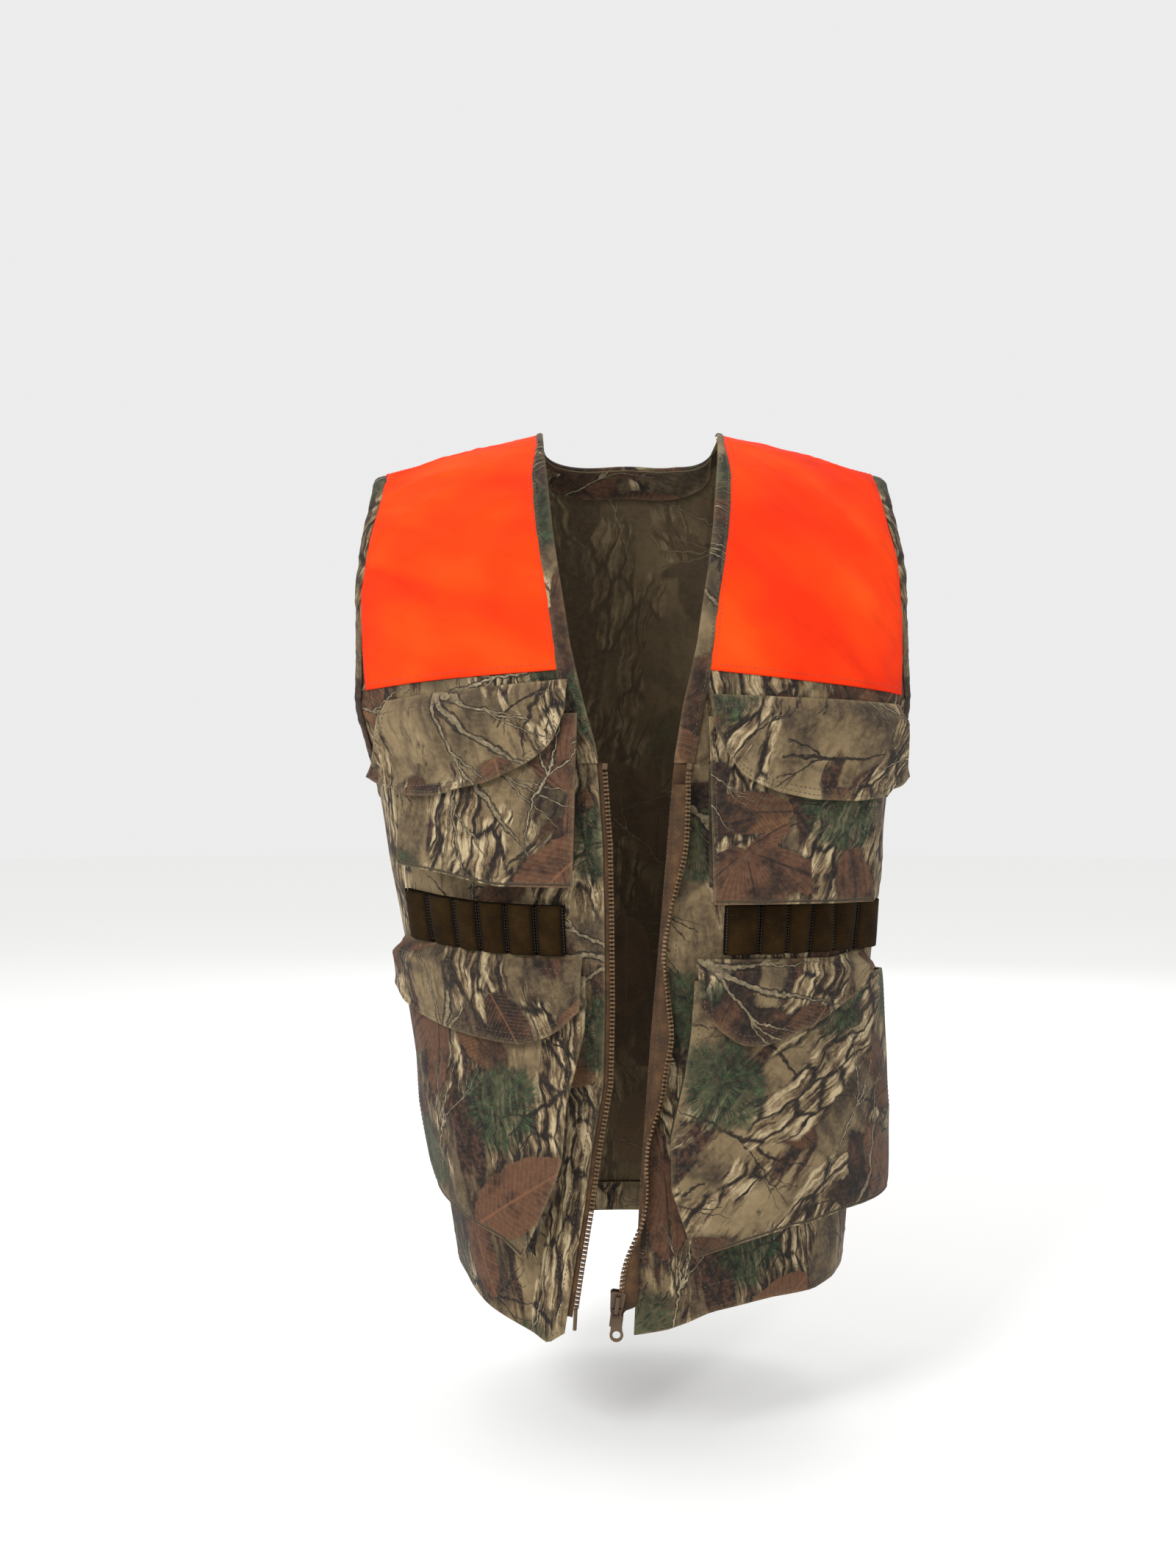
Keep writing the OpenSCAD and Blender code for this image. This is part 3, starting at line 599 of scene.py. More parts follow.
def leaf(n, p, colour, pitch, size, seed, share, codes, rib, fan=False):
    """Fallen leaves with veins, a lobed or ragged outline and a soft dark halo."""
    x, y, luck, shown = scattered(n, p, pitch, seed, share)
    s = n.madd(luck, 0.5 * size, 0.75 * size)
    t, d = n.math("DIVIDE", x, s), n.math("DIVIDE", n.abs(y), s)
    ragged = n.madd(n.grain(p, 110, 3, 0.65), 0.36, -0.18)
    if fan:
        base = n.math("ADD", t, 0.8)
        turn = n.math("ARCTAN2", d, base)
        out = n.math("SQRT", n.math("ADD", n.mul(base, base), n.mul(d, d)))
        lobe = n.madd(n.math("COSINE", n.mul(turn, 6.3)), 0.30, 1.30)
        edge = n.madd(n.mul(turn, turn), -0.22, lobe)
        inside = n.sub(n.math("ADD", edge, ragged), out)
        vein = n.math("PINGPONG", n.mul(turn, 6.3 / math.pi / 2), 0.5)
        fine = n.math("PINGPONG", n.madd(out, 2.0, n.mul(turn, 9.0)), 0.5)
        ribs = n.math("MAXIMUM", n.ease(vein, 0.05, 0.015), n.ease(fine, 0.20, 0.05, 0, 0.45))
    else:
        hull = n.math("SQRT", n.sub(1.0, n.mul(t, t), clamp=True))
        inside = n.sub(n.madd(hull, 0.50, n.mul(ragged, 0.5)), d)
        fine = n.math("PINGPONG", n.madd(d, -7.0, n.mul(t, 10.0)), 0.5)
        ribs = n.math("MAXIMUM", n.ease(d, 0.03, 0.01), n.ease(fine, 0.14, 0.04, 0, 0.6))
    colour = n.blend(n.mul(n.ease(inside, -0.16, 0.04, 0, 0.5), shown), colour, "261c15")
    tone = n.madd(n.grain(p, 42, 4, 0.65), 0.8, n.mul(luck, 0.25))
    fill = n.blend(n.mul(ribs, 0.6), n.tones(tone, *codes), rib)
    return n.blend(n.mul(n.ease(inside, 0.0, 0.03), shown), colour, fill)


SHADE = "1f1711"    # the dark side of a twig


def twig(n, p, colour, pitch, long, wide, seed, share, code):
    """Bent twigs that fork twice, each with a dark underside."""
    x, y, _, shown = scattered(n, p, pitch, seed, share)
    bend = n.mul(n.math("SINE", n.mul(x, 50.0)), 0.0045)
    knots = n.madd(n.grain(p, 70, 3, 0.6), 0.009, -0.0045)
    stem = n.math("ADD", n.math("ADD", y, bend), knots)
    reach = n.sub(1.0, n.math("DIVIDE", n.abs(x), long), clamp=True)
    half = n.mul(reach, wide)
    near = arm = n.abs(stem)
    for start, slope, thin in ((0.0, 0.55, 1.6), (0.3, 0.38, 2.4)):
        off = n.mul(n.math("MAXIMUM", n.sub(x, long * start), 0.0), slope)
        arm = n.abs(n.sub(arm, off))
        near = n.math("MINIMUM", near, n.mul(arm, thin))
    here = n.mul(shown, n.math("GREATER_THAN", reach, 0.02))
    dark = n.ease(n.sub(n.madd(half, 1.8, 0.0003), near), 0.0, 0.0006)
    colour = n.blend(n.mul(n.mul(dark, here), 0.7), colour, SHADE)
    core = n.mul(n.ease(n.sub(half, near), 0.0, 0.0005), here)
    return n.blend(core, colour, n.blend(n.grain(p, 260, 3, 0.7), SHADE, code))


def needles(n, p, colour, pitch, long, seed, share):
    """Sprays of pine: fine strokes fanning out from a point."""
    x, y, _, shown = scattered(n, p, pitch, seed, share)
    out = n.math("DIVIDE", n.math("SQRT", n.math("ADD", n.mul(x, x), n.mul(y, y))), long)
    turn = n.math("ARCTAN2", n.abs(y), x)
    comb = n.grain(n.pair(turn, n.mul(out, 0.09)), 26, 2, 0.7)
    ends = n.madd(n.grain(p, 50, 2, 0.5), 0.5, n.mul(out, 0.9))
    here = n.mul(n.ease(ends, 1.0, 0.75), shown)
    colour = n.blend(n.mul(here, 0.5), colour, "1b2119")
    mask = n.mul(n.ease(comb, 0.47, 0.56), here)
    return n.blend(mask, colour, n.tones(n.grain(p, 120, 3, 0.6), (0.3, "25331f"), (0.7, "57694d")))


CONTRAST = 1.55     # the gamma that deepens the print's darks
RUST = (0.34, "2b211a"), (0.48, "4b372a"), (0.64, "705542")
TAN = (0.3, "3b291e"), (0.5, "5b4331"), (0.8, "84684e")


def camo(name, dim, inside=False):
    """A woodland print of our own: bark, fallen leaves, twigs and pine sprigs."""
    n = Net(name, 0.85, sheen=0.03)
    p = n.cloth()
    c = bark(n, p, ground(n, p), 1)
    c = twig(n, p, c, 0.075, 0.060, 0.0009, 3, 0.7, "3a2c20")
    c = leaf(n, p, c, 0.075, 0.026, 5, 0.35, TAN, "241812")
    c = bark(n, p, c, 4)
    c = needles(n, p, c, 0.120, 0.040, 7, 0.6)
    c = leaf(n, p, c, 0.125, 0.037, 2, 0.72, RUST, "241611", fan=True)
    c = leaf(n, p, c, 0.150, 0.036, 8, 0.5, RUST, "8c6b52")
    c = twig(n, p, c, 0.140, 0.105, 0.0024, 6, 0.55, "b3a78e")
    c = twig(n, p, c, 0.100, 0.075, 0.0010, 9, 0.6, "cabfa6")
    faded = n.grain(p, 300, 2, 0.6)
    c = n.blend(n.ease(faded, 0.35, 0.75, 0.0, 0.14), c, "9b9079")
    if inside:
        c = n.blend(0.62, c, "7b6e58")
    c = n.blend(n.mul(n.wear_and_shade(), 0.30), c, "9a8e74")
    curve = n.new("Gamma", (c, CONTRAST)).outputs[0]
    c = n.blend(1.0, curve, (dim, dim, dim, 1), "MULTIPLY")
    n.bumps(n.madd(faded, 0.6, n.weave(p, 0.0007)), 0.00012, 0.6)
    return n.done(c)


def blaze(name, inside=False):
    """Fluorescent twill, with a painted highlight where it stands proud and painted shade in its
    slanting folds.
    """
    n = Net(name, 0.75, level=0.15)
    p = n.cloth()
    lean = n.turned(p, 0.62)
    folds = n.grain(n.vec("MULTIPLY", lean, (0.25, 1.0, 1.0)), 24, 3, 0.5, 0.3)
    # a random tone, plus a painted highlight on the fold tops and painted shade in the folds
    tone_and_fold_shade = n.madd(n.grain(p, 13, 2, 0.5), 0.55, n.mul(folds, 0.45))
    c = n.tones(tone_and_fold_shade, (0.34, "ec2e00"), (0.42, "f83600"), (0.52, "ff3f00"), (0.68, "ff500a"))
    thread = n.weave(p, 0.0006)
    c = n.blend(n.mul(thread, 0.12), c, "d42400")
    # painted shade: darker slanting wrinkle lines, with no bump of their own
    lines = n.grain(n.vec("MULTIPLY", lean, (0.3, 1.0, 1.0)), 75, 3, 0.6, 0.4)
    c = n.blend(n.ease(lines, 0.56, 0.76, 0.0, 0.22), c, "c42200")
    # painted shade: a deeper orange along the edges of each blaze sheet
    c = n.blend(n.mul(n.wear_and_shade(), 0.55), c, "d92600")
    if inside:
        c = n.blend(0.35, c, "a83a14")
    n.bumps(n.madd(folds, 26.0, thread), 0.00018, 0.9)
    return n.done(c)


def elastic(name):
    n = Net(name, 0.9, level=0.08)
    p = n.cloth()
    x, y, _ = n.parts(p)
    rib = n.madd(n.math("SINE", n.mul(y, 2 * math.pi / 0.0013)), 0.5, 0.5)
    pick = n.madd(n.math("SINE", n.mul(x, 2 * math.pi / 0.0007)), 0.5, 0.5)
    c = n.tones(n.grain(p, 60, 4, 0.6), (0.3, "211506"), (0.5, "2a1c09"), (0.75, "35250e"))
    c = n.blend(n.mul(rib, 0.35), c, "1a1106")
    c = n.blend(n.ease(n.grain(p, 500, 2, 0.7), 0.6, 0.8, 0, 0.4), c, "4a3614")
    # painted shade: near black along the elastic's edges and in the slots between the loops
    c = n.blend(n.mul(n.wear_and_shade(), 0.9), c, "0c0703")
    n.bumps(n.madd(pick, 0.35, rib), 0.0003, 0.8)
    return n.done(c)


def tape(name):
    n = Net(name, 0.8, sheen=0.02)
    p = n.cloth()
    x, y, _ = n.parts(p)
    herring = n.math("PINGPONG", n.madd(n.math("PINGPONG", x, 0.0012), 700.0,
        n.mul(y, 900.0)), 0.5)
    c = n.tones(n.grain(p, 90, 3, 0.6), (0.3, "352311"), (0.55, "4a3118"), (0.8, "5f4426"))
    c = n.blend(n.mul(herring, 0.5), c, "2a1a0c")
    n.bumps(herring, 0.0002, 0.7)
    return n.done(c)


def fuzz(name, hooks):
    n = Net(name, 0.9, sheen=0.05)
    p = n.cloth()
    spots = n.cells(p, 900 if hooks else 500, jitter=0.35 if hooks else 1.0)
    nap = n.grain(p, 700, 4, 0.8)
    c = n.tones(nap, (0.3, "17130f"), (0.5, "2b251e"), (0.75, "4a4238"))
    c = n.blend(n.ease(spots["Distance"], 0.1, 0.5, 0.5, 0.0), c, "5e564a")
    n.bumps(n.sub(nap, spots["Distance"]), 0.0006, 0.9)
    return n.done(c)


def moulded(name, codes, rough, metal):
    """Painted or moulded zip hardware, rubbed bright on its high spots."""
    n = Net(name, rough, metal=metal, level=0.5)
    grain = n.speckle(420, 5)
    c = n.tones(grain, *codes)
    edge = n.new("NewGeometry").outputs["Pointiness"]
    c = n.blend(n.ease(edge, 0.53, 0.64, 0, 0.35), c, "8f785a")
    n.bumps(grain, 0.00015, 0.5)
    return n.done(c)


def thread(name, low, high):
    n = Net(name, 0.6, sheen=0.2)
    return n.done(n.tones(n.speckle(900, 2), (0.35, low), (0.7, high)))


CAMO, LINING = camo("woodland_print", 1.5), camo("woodland_reverse", 1.33, inside=True)
# the gusset copy of the print is darkened well below the rest, as painted shade in the gaps beside the
# pockets
TRIM, SHADED_GUSSET = camo("trim_print", 1.3), camo("gusset_print_painted_shade", 0.53)
BLAZE, BLAZE_IN = blaze("blaze_cloth"), blaze("blaze_reverse", inside=True)
ELASTIC, TAPE = elastic("ribbed_elastic"), tape("zip_tape_weave")
HOOK, LOOP = fuzz("hook_tape", True), fuzz("loop_tape", False)
TEETH = moulded("moulded_teeth", ((0.3, "3d2a16"), (0.6, "66492a"), (0.8, "86683f")), 0.42, 0.1)
METAL = moulded("browned_metal", ((0.3, "211512"), (0.6, "35221d"), (0.8, "4a332b")), 0.36, 0.55)
BROWN_THREAD = thread("brown_thread", "33271a", "5c4a33")
DARK_THREAD = thread("dark_thread", "120c06", "261b0f")
BLAZE_THREAD = thread("blaze_thread", "9c2200", "cc3808")


# ---------------------------------------------------------------- body panels


class Free:
    """A sheet given by any point function of u and v, such as a zip tape."""

    def __init__(self, place, width, length):
        self.place, self.width, self.length = place, width, length

    def at(self, u, v, off=0.0):
        e = 1e-3
        across = self.place(u + e, v) - self.place(u - e, v)
        down = self.place(u, v + e) - self.place(u, v - e)
        return self.place(u, v) + unit(np.cross(across, down)) * off

    def cloth_xy(self, u, v):
        return np.stack([u * self.width, v * self.length], -1)


def panel_rows(front):
    h = np.concatenate([even(34, TOP, 168), 175 + 80 * np.sin(even(18, 0, math.pi / 2)),
        even(62, 260.5, 584), [588, 590.4, 591.4, SIDE_HEM]])
    runs = run_at(front, h)
    return (runs - runs[0]) / (runs[-1] - runs[0])


def front_spot(side):
    def spot(u, v):
        run = mix(run_at(FRONT, TOP), run_at(FRONT, look(u, HEM[side])), v)
        h = drop_at(FRONT, run)
        return side * mix(edge_angle(side, h), outer_angle(h), u), run, 0
    return spot


# how far a layer of cloth stands off the body: its inner and its outer face
SHELL_LAYER, PATCH_LAYER, POCKET_LAYER, FLAP_LAYER = (0.2, 1.4), (1.6, 2.8), (0.0, 1.2), (0.0, 1.7)
ON_SHELL, ON_PATCH, ON_POCKET, ON_FLAP = 1.45, 2.85, 1.25, 1.75     # thread on those layers
# the share of the back's half width that lies inside the neck points
NECK_SHARE = math.degrees(math.asin(65 / SHOULDER_HALF)) / float(arm_angle(np.array(0.0)))


def back_run(w, lead, foot, v):
    """Runs down the back, from lead past the neck or the shoulder seam to the drop foot."""
    scoop = TOP + 22 * np.sqrt(np.maximum(1 - (w / NECK_SHARE) ** 2, 0))
    deeper = 1 + 2 * smooth((NECK_SHARE + 0.03 - np.abs(w)) / 0.09)
    return mix(run_at(BACK, scoop) + lead * deeper, run_at(BACK, foot + 0 * w), v)


def back_spot(share, lead, foot):
    def spot(u, v):
        c = np.abs(2 * u - 1)
        w = np.where(u < 0.5, -1, 1) * np.where(c < 0.4, c / 0.4 * NECK_SHARE,
            mix(NECK_SHARE, share, (c - 0.4) / 0.6))
        run = back_run(w, lead, foot, v)
        return outer_angle(drop_at(BACK, run)) * w, run, 0
    return spot


def spread_u(n):
    """Columns of the back, with a column at each neck point."""
    half = np.concatenate([np.linspace(0, 0.4, n), np.linspace(0.4, 1, 2 * n)[1:]])
    return np.concatenate([(1 - half[::-1]) / 2, (1 + half[1:]) / 2])


BACK_LONG, HEM_DEEP, NECK_FACING, FRONT_FACING = 640, 22, 26, 27

# raised seams in section: across the seam, and out from the body
SIDE_SEAM = [(-3.6, 0.1), (-3.4, 1.7), (-2.4, 2.2), (0, 2.3), (2.4, 2.2), (3.4, 1.7), (3.6, 0.1)]
SHOULDER_SEAM = [(-3.4, 1.5), (-3.2, 3.0), (-2.0, 3.6), (0, 3.8), (2.2, 3.6), (3.2, 2.9),
    (3.6, 1.5)]


def build_back():
    surf = Surface(BACK, back_spot(1, 0, SIDE_HEM), turn=4, shift=(120, 60))
    shell = cloth("back_shell", surf, spread_u(16), panel_rows(BACK), *SHELL_LAYER,
        (CAMO, LINING))
    own(shell, "camo_cloth", "back_panel")
    yoke_s = Surface(BACK, back_spot(0.94, 2, 150), lambda u, v, x, y:
        0.7 * crease(x, y, 12, 90, 34, 8) + 0.3 * noise(x / 14, y / 20, 4), shift=(40, 10))
    yoke = cloth("back_yoke_patch", yoke_s, spread_u(15), stops(150, 5), 1.6, 2.7,
        (BLAZE, BLAZE_IN))
    own(yoke, "blaze_cloth", "back_yoke")

    def hem_spot(u, v):
        run = run_at(BACK, SIDE_HEM - HEM_DEEP + 21.5 * v)
        return SIDE_ANGLE * (2 * u - 1) * 0.985, run, 0
    hem = cloth("back_hem_strip", Surface(BACK, hem_spot, shift=(10, 500)), even(60), even(7),
        -1.8, -0.4, (TRIM,))
    own(hem, "camo_trim", "back_hem")

    def facing_spot(u, v):
        w = (2 * u - 1) * NECK_SHARE * 0.97
        run = back_run(w, 0, 300, 0 * v) + 0.8 + NECK_FACING * v
        return outer_angle(drop_at(BACK, run)) * w, run, 0
    facing = cloth("back_neck_lining", Surface(BACK, facing_spot, shift=(200, 300)),
        even(40), stops(NECK_FACING, 4), -1.9, -0.7, (TRIM,))
    own(facing, "camo_trim", "back_neck_facing")
    w = even(90, -1, 1) * NECK_SHARE * 0.995
    run = back_run(w, 0, 300, 0 * w)
    roll = rolled("back_neck_roll", BACK, outer_angle(drop_at(BACK, run)) * w, run,
        outer_angle(drop_at(BACK, run + 9)) * w, run + 9, 7.5)
    own(roll, "camo_trim")
    u = even(400)
    seams = stitches("back_stitches", [line(surf, u, 1 - up / BACK_LONG, 1.5)
        for up in (20, 4)], BROWN_THREAD)
    yoke_seam = stitches("back_yoke_stitches", hem_rows(yoke_s, u, 0.012, 3.0 / 150, 2.75),
        BLAZE_THREAD)
    for piece in (shell, yoke, hem, facing, roll, seams, yoke_seam):
        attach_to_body(piece, "back")
    for side in (RIGHT, LEFT):
        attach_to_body(own(arm_binding(side, BACK), "camo_trim", NAME[side] + "_back_armhole_binding"),
            "back")
        h = even(120, ARMPIT - 1, SIDE_HEM - 1)
        a = 89.99 * side + 0 * h
        path, normal = frame_of(FRONT, a, run_at(FRONT, h))
        seam = sweep(NAME[side] + "_side_seam", path, normal, SIDE_SEAM, TRIM)
        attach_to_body(own(seam, "camo_trim"), "back")
        a = side * even(60, *(float(angle_of(side, x, 1.0)) for x in (65.0, 177.0)))
        path, normal = frame_of(FRONT, a, 2.6 + 0 * a)
        ridge = sweep(NAME[side] + "_shoulder_seam", path, normal, SHOULDER_SEAM, BLAZE)
        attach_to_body(own(ridge, "blaze_cloth"), "back")
        row = stitches(NAME[side] + "_shoulder_stitches", [(path + normal * 3.45
            + np.array([0, -2.0, 0]), normal)], BLAZE_THREAD)
        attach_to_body(row, "back")
    declare(shell)
    for piece in (yoke, facing):
        declare(piece)


def frame_of(front, angle, run, off=0.0):
    path = lay(front, angle, run, off)
    return path, unit(lay(front, angle, run, off + 1) - path)


# a rolled binding in section: shares of its width across, and millimetres out
ROLL = [(1.0, 1.7), (0.93, 2.4), (0.55, 2.9), (0.15, 2.8), (-0.08, 2.1), (-0.14, 0.8),
    (-0.08, -0.5), (0.15, -1.1), (0.6, -1.25), (0.95, -1.0), (0.95, -0.35), (0.6, -0.5),
    (0.2, -0.3), (0.02, 0.1), (-0.02, 0.8), (0.02, 1.6), (0.2, 2.0), (0.55, 2.1), (0.93, 1.5)]


def rolled(name, front, angle, run, angle_in, run_in, width, pucker=0.0):
    """A folded binding that wraps a cut edge; width may change along it."""
    path, normal = frame_of(front, angle, run)
    inside = lay(front, angle_in, run_in, 0)
    tangent = unit(np.gradient(path, axis=0))
    side = np.sum(np.cross(normal, tangent) * (inside - path), -1)
    flip = 1 if np.median(side) > 0 else -1
    s = run_lengths(path, 0)
    width = np.broadcast_to(np.asarray(width, float), s.shape)
    inward = unit(np.cross(normal, tangent)) * flip
    prof = np.asarray(ROLL)
    wave = pucker * noise(s / 5.5, 0 * s, 3) + 0.5 * pucker * noise(s / 2.3, 0 * s, 7)
    across = prof[None, :, 0] * (width * (1 + 0.25 * wave))[:, None]
    lift = prof[None, :, 1] * (1 + 0.45 * wave)[:, None]
    pts = path[:, None] + inward[:, None] * across[..., None] + normal[:, None] * lift[..., None]
    girth = run_lengths(prof * [float(width.mean()), 1], 0)
    return tube(name, pts, girth, s + 70 * front, TRIM, 0.2, 70)


def arm_binding(side, front):
    h = np.concatenate([[0.01, 0.12, 0.4], even(89, 1, 170),
        175 + 80 * np.sin(even(60, 0, math.pi / 2))])
    h = np.clip(h, 0, 254.9)
    angle = arm_angle(h)
    width = np.where(h < 175, np.interp(h, [0, 40, 120, 175], [9, 8.5, 7, 7]), 7)
    t = smooth((h - 190) / 60)
    return rolled(f"{NAME[side]}_{'front' if front < 0 else 'back'}_arm_roll", front, side * angle,
        run_at(front, h), side * (angle - 4 * (1 - 0.4 * t)), run_at(front, h) + 6 * t, width,
        0.55 if front < 0 else 0.4)


def build_front(side):
    s = NAME[side]
    surf = Surface(FRONT, front_spot(side), turn=-3 * side,
        shift=(35 * side, 20 if side > 0 else 90))
    shell = cloth(s + "_front_shell", surf, stops(165, 5), panel_rows(FRONT), *SHELL_LAYER,
        (CAMO, LINING))
    own(shell, "camo_cloth", s + "_front_panel")

    def patch_spot(u, v):
        run = mix(3.5, run_at(FRONT, 177 + (12 if side > 0 else 8) * u), v)
        h = drop_at(FRONT, run)
        return side * across(side, (PATCH_IN, PATCH_OUT), u, h), run, 0

    def patch_folds(u, v, x, y):
        mid = smooth(u / 0.12) * smooth((1 - u) / 0.10) * smooth((1 - v) / 0.05)
        long = 1.5 * crease(x, y, 28 * side, 95, 36, 11 if side > 0 else 6, 4)
        short = 0.7 * crease(x, y, -18 * side, 60, 22, 21, 5)
        fine = 0.12 * noise(x / 3, y / 3, 9)
        return mid * (long + short + 0.35 * noise(x / 11, y / 15, 3)) + fine

    patch_s = Surface(FRONT, patch_spot, patch_folds, turn=8 * side, shift=(10, 20))
    patch = cloth(s + "_blaze_patch", patch_s, stops(120, 3.2), stops(210, 3.2),
        *PATCH_LAYER, (BLAZE, BLAZE_IN))
    own(patch, "blaze_cloth", s + "_shoulder_patch")
    u = even(300, 0.015, 0.985)
    patch_row = stitches(s + "_blaze_stitches", hem_rows(patch_s, u, 0.018, 3.0 / 215, ON_PATCH),
        BLAZE_THREAD)

    # the rolled strip between the patch and the V edge
    def neck_spot(u, v):
        h = mix(0.02, 238.0, v ** 1.3)
        out = np.maximum(look(h, PATCH_IN) + 0.6, look(h, EDGE[side]) + 3.0)
        out = mix(out, look(h, EDGE[side]) + 12, smooth((h - 184) / 6))
        x = mix(look(h, EDGE[side]) - 1.4, out, u)
        return side * angle_of(side, x, h), run_at(FRONT, h), 1.5 + 1.5 * np.sin(math.pi * (
            0.12 + 0.8 * u)) * (1 + 0.25 * noise(h / 7, 3 * u, 4))
    neck_s = Surface(FRONT, neck_spot, turn=20 * side, shift=(300, 80))
    neck = cloth(s + "_neck_roll", neck_s, even(11), even(110), -0.2, 0.9,
        (TRIM,))
    own(neck, "camo_trim")
    v = even(260, 0.02, 0.985)

    def facing_spot(u, v):
        h = mix(2.0, 609.0, v)
        x = look(h, EDGE[side]) + 0.8 + FRONT_FACING * u
        return side * angle_of(side, x, h), run_at(FRONT, h), 0
    facing = cloth(s + "_front_lining", Surface(FRONT, facing_spot, shift=(20, 40)),
        stops(FRONT_FACING, 5), even(110), -2.9, -1.8, (TRIM,))
    own(facing, "camo_trim", s + "_front_facing")

    def hem_spot(u, v):
        level = 600 - HEM_DEEP * (1 - v)
        edge = edge_angle(side, level)
        angle = mix(edge_angle(side, level, 30), 88.5, u)
        share = (angle - edge) / (outer_angle(level) - edge)
        h = look(share, HEM[side]) - HEM_DEEP + 21.2 * v
        return side * angle, run_at(FRONT, h), 0
    hem = cloth(s + "_hem_strip", Surface(FRONT, hem_spot, shift=(70, 10)), even(44),
        even(7), -1.7, -0.3, (TRIM,))
    own(hem, "camo_trim", s + "_front_hem")
    bind = own(arm_binding(side, FRONT), "camo_trim", s + "_front_armhole_binding")

    # rows of stitching on the shell
    rows = []
    for inset in (5.0, 10.5):
        h = even(500, 232, 606)
        a = side * edge_angle(side, h, inset)
        rows.append(frame_of(FRONT, a, run_at(FRONT, h), ON_SHELL))
    u = even(300, 0.03, 0.98)
    for up in (3.5, 19.0):
        h = look(u, HEM[side]) - up
        a = side * mix(edge_angle(side, h), 89.5, u)
        rows.append(frame_of(FRONT, a, run_at(FRONT, h), ON_SHELL))
    seams = stitches(s + "_front_stitches", rows, BROWN_THREAD)
    neck_row = stitches(s + "_neck_stitches", [line(neck_s, 0.80, v, 0.95)], BROWN_THREAD)
    for piece in (shell, patch, patch_row, neck, facing, hem, bind, seams, neck_row):
        attach(piece, side)
    declare(shell)
    for piece in (patch, facing, neck):
        declare(piece)


# ---------------------------------------------------------------- pockets

CHEST = {RIGHT: ([[180, 36.5], [320, 38]], [[190, 150], [250, 147], [304, 141]], 206,
        [[0, 318.5], [0.37, 317.5], [0.64, 310], [1, 303]], 24, 24, -9),
    LEFT: ([[180, 48.5], [330, 48.5]], [[200, 155], [256, 152], [327, 146]], 208,
        [[0, 329.5], [1, 329.5]], 24, 24, -9)}
LOWER = {RIGHT: ([[370, 31], [412, 31], [436, 36], [460, 41.5], [495, 43], [510, 46.5], [559, 64]],
        [[372, 150], [440, 141], [476, 138], [514, 129], [540, 119]], 378,
        [[0, 559], [0.2, 549], [0.55, 540], [1, 530]], 26, 13, 9),
    LEFT: ([[370, 40], [415, 36], [442, 31.5], [481, 22.5], [513, 22.5], [557, 36]],
        [[373, 168], [534, 154]], 381,
        [[0, 557], [0.19, 548], [0.38, 540], [0.65, 534.5], [1, 534]], 26, 29, 6)}
CHEST_FLAP = {RIGHT: ([[184, 44]], [[195, 166], [238, 166], [250, 164]], [[0, 184], [1, 195]],
        [[0, 14], [0.02, 30], [0.05, 40], [0.14, 51], [0.3, 62], [0.53, 68], [0.7, 65.5],
        [0.83, 58.5], [0.94, 49], [1, 43]]),
    LEFT: ([[194, 51]], [[195, 178.5], [242, 176]], [[0, 193.5], [1, 196.5]],
        [[0, 18], [0.03, 33], [0.1, 52], [0.22, 61.5], [0.37, 66.5], [0.55, 66.5], [0.7, 63],
        [0.83, 56], [0.94, 48], [1, 43]])}
LOWER_FLAP = {RIGHT: ([[366, 34]], [[358, 154], [402, 149]], [[0, 366.5], [1, 358]],
        [[0, 31], [0.03, 38], [0.09, 48], [0.2, 56], [0.38, 53.5], [0.55, 50.5], [0.75, 46],
        [0.88, 41], [1, 31]]),
    LEFT: ([[366, 41]], [[366, 158], [372, 155]], [[0, 367.5], [0.7, 369.5], [1, 365.5]],
        [[0, 28], [0.05, 40], [0.16, 53], [0.26, 54], [0.42, 46], [0.57, 38], [0.72, 28],
        [0.85, 20], [1, 11]])}


FLAP_LIFT = 2.6     # the gap in which the two touch tapes meet


def across(side, p, u, h):
    return mix(angle_of(side, look(h, p[0]), h), angle_of(side, look(h, p[1]), h), u)


def stand_off(p, u, v):
    return mix(9, mix(p[4], p[5], u), np.maximum(v, 0) ** 0.8)


def pocket_drop(p, u, v):
    return mix(p[2], look(u, p[3]), v)


class Wall:
    """The pleated side wall of a pocket, from the shell at v 0 to the face at v 1."""

    def __init__(self, side, p, width, height, pleat, seed):
        self.side, self.p, self.size, self.pleat, self.seed = side, p, (width, height), pleat, seed

    def at(self, u, v, off=0.0):
        t = u * 3
        near = np.where(t < 1, 0.0, np.where(t < 2, t - 1, 1.0))
        down = np.where(t < 1, t, np.where(t < 2, 1.0, 3 - t))
        fold = self.pleat * np.sin(math.pi * v) * (1 + 0.35 * noise(t * 9, 2 * v, self.seed))
        inset = 1.4 + fold * smooth(down / 0.25) - off
        du, dv = inset / self.size[0], inset / self.size[1]
        uu = np.clip(near, du, 1 - du)
        vv = np.minimum(down, 1 - dv)
        p = self.p
        h = pocket_drop(p, uu, vv) + p[6] * (1 - v) * vv ** 5
        reach = mix(1.6, stand_off(p, uu, vv) + 0.6, v)
        return lay(FRONT, self.side * across(self.side, p, uu, h), run_at(FRONT, h), reach)

    def cloth_xy(self, u, v):
        return np.stack([u * 3 * 115 + 40 * self.seed, v * 26 + 90 * self.seed], -1)


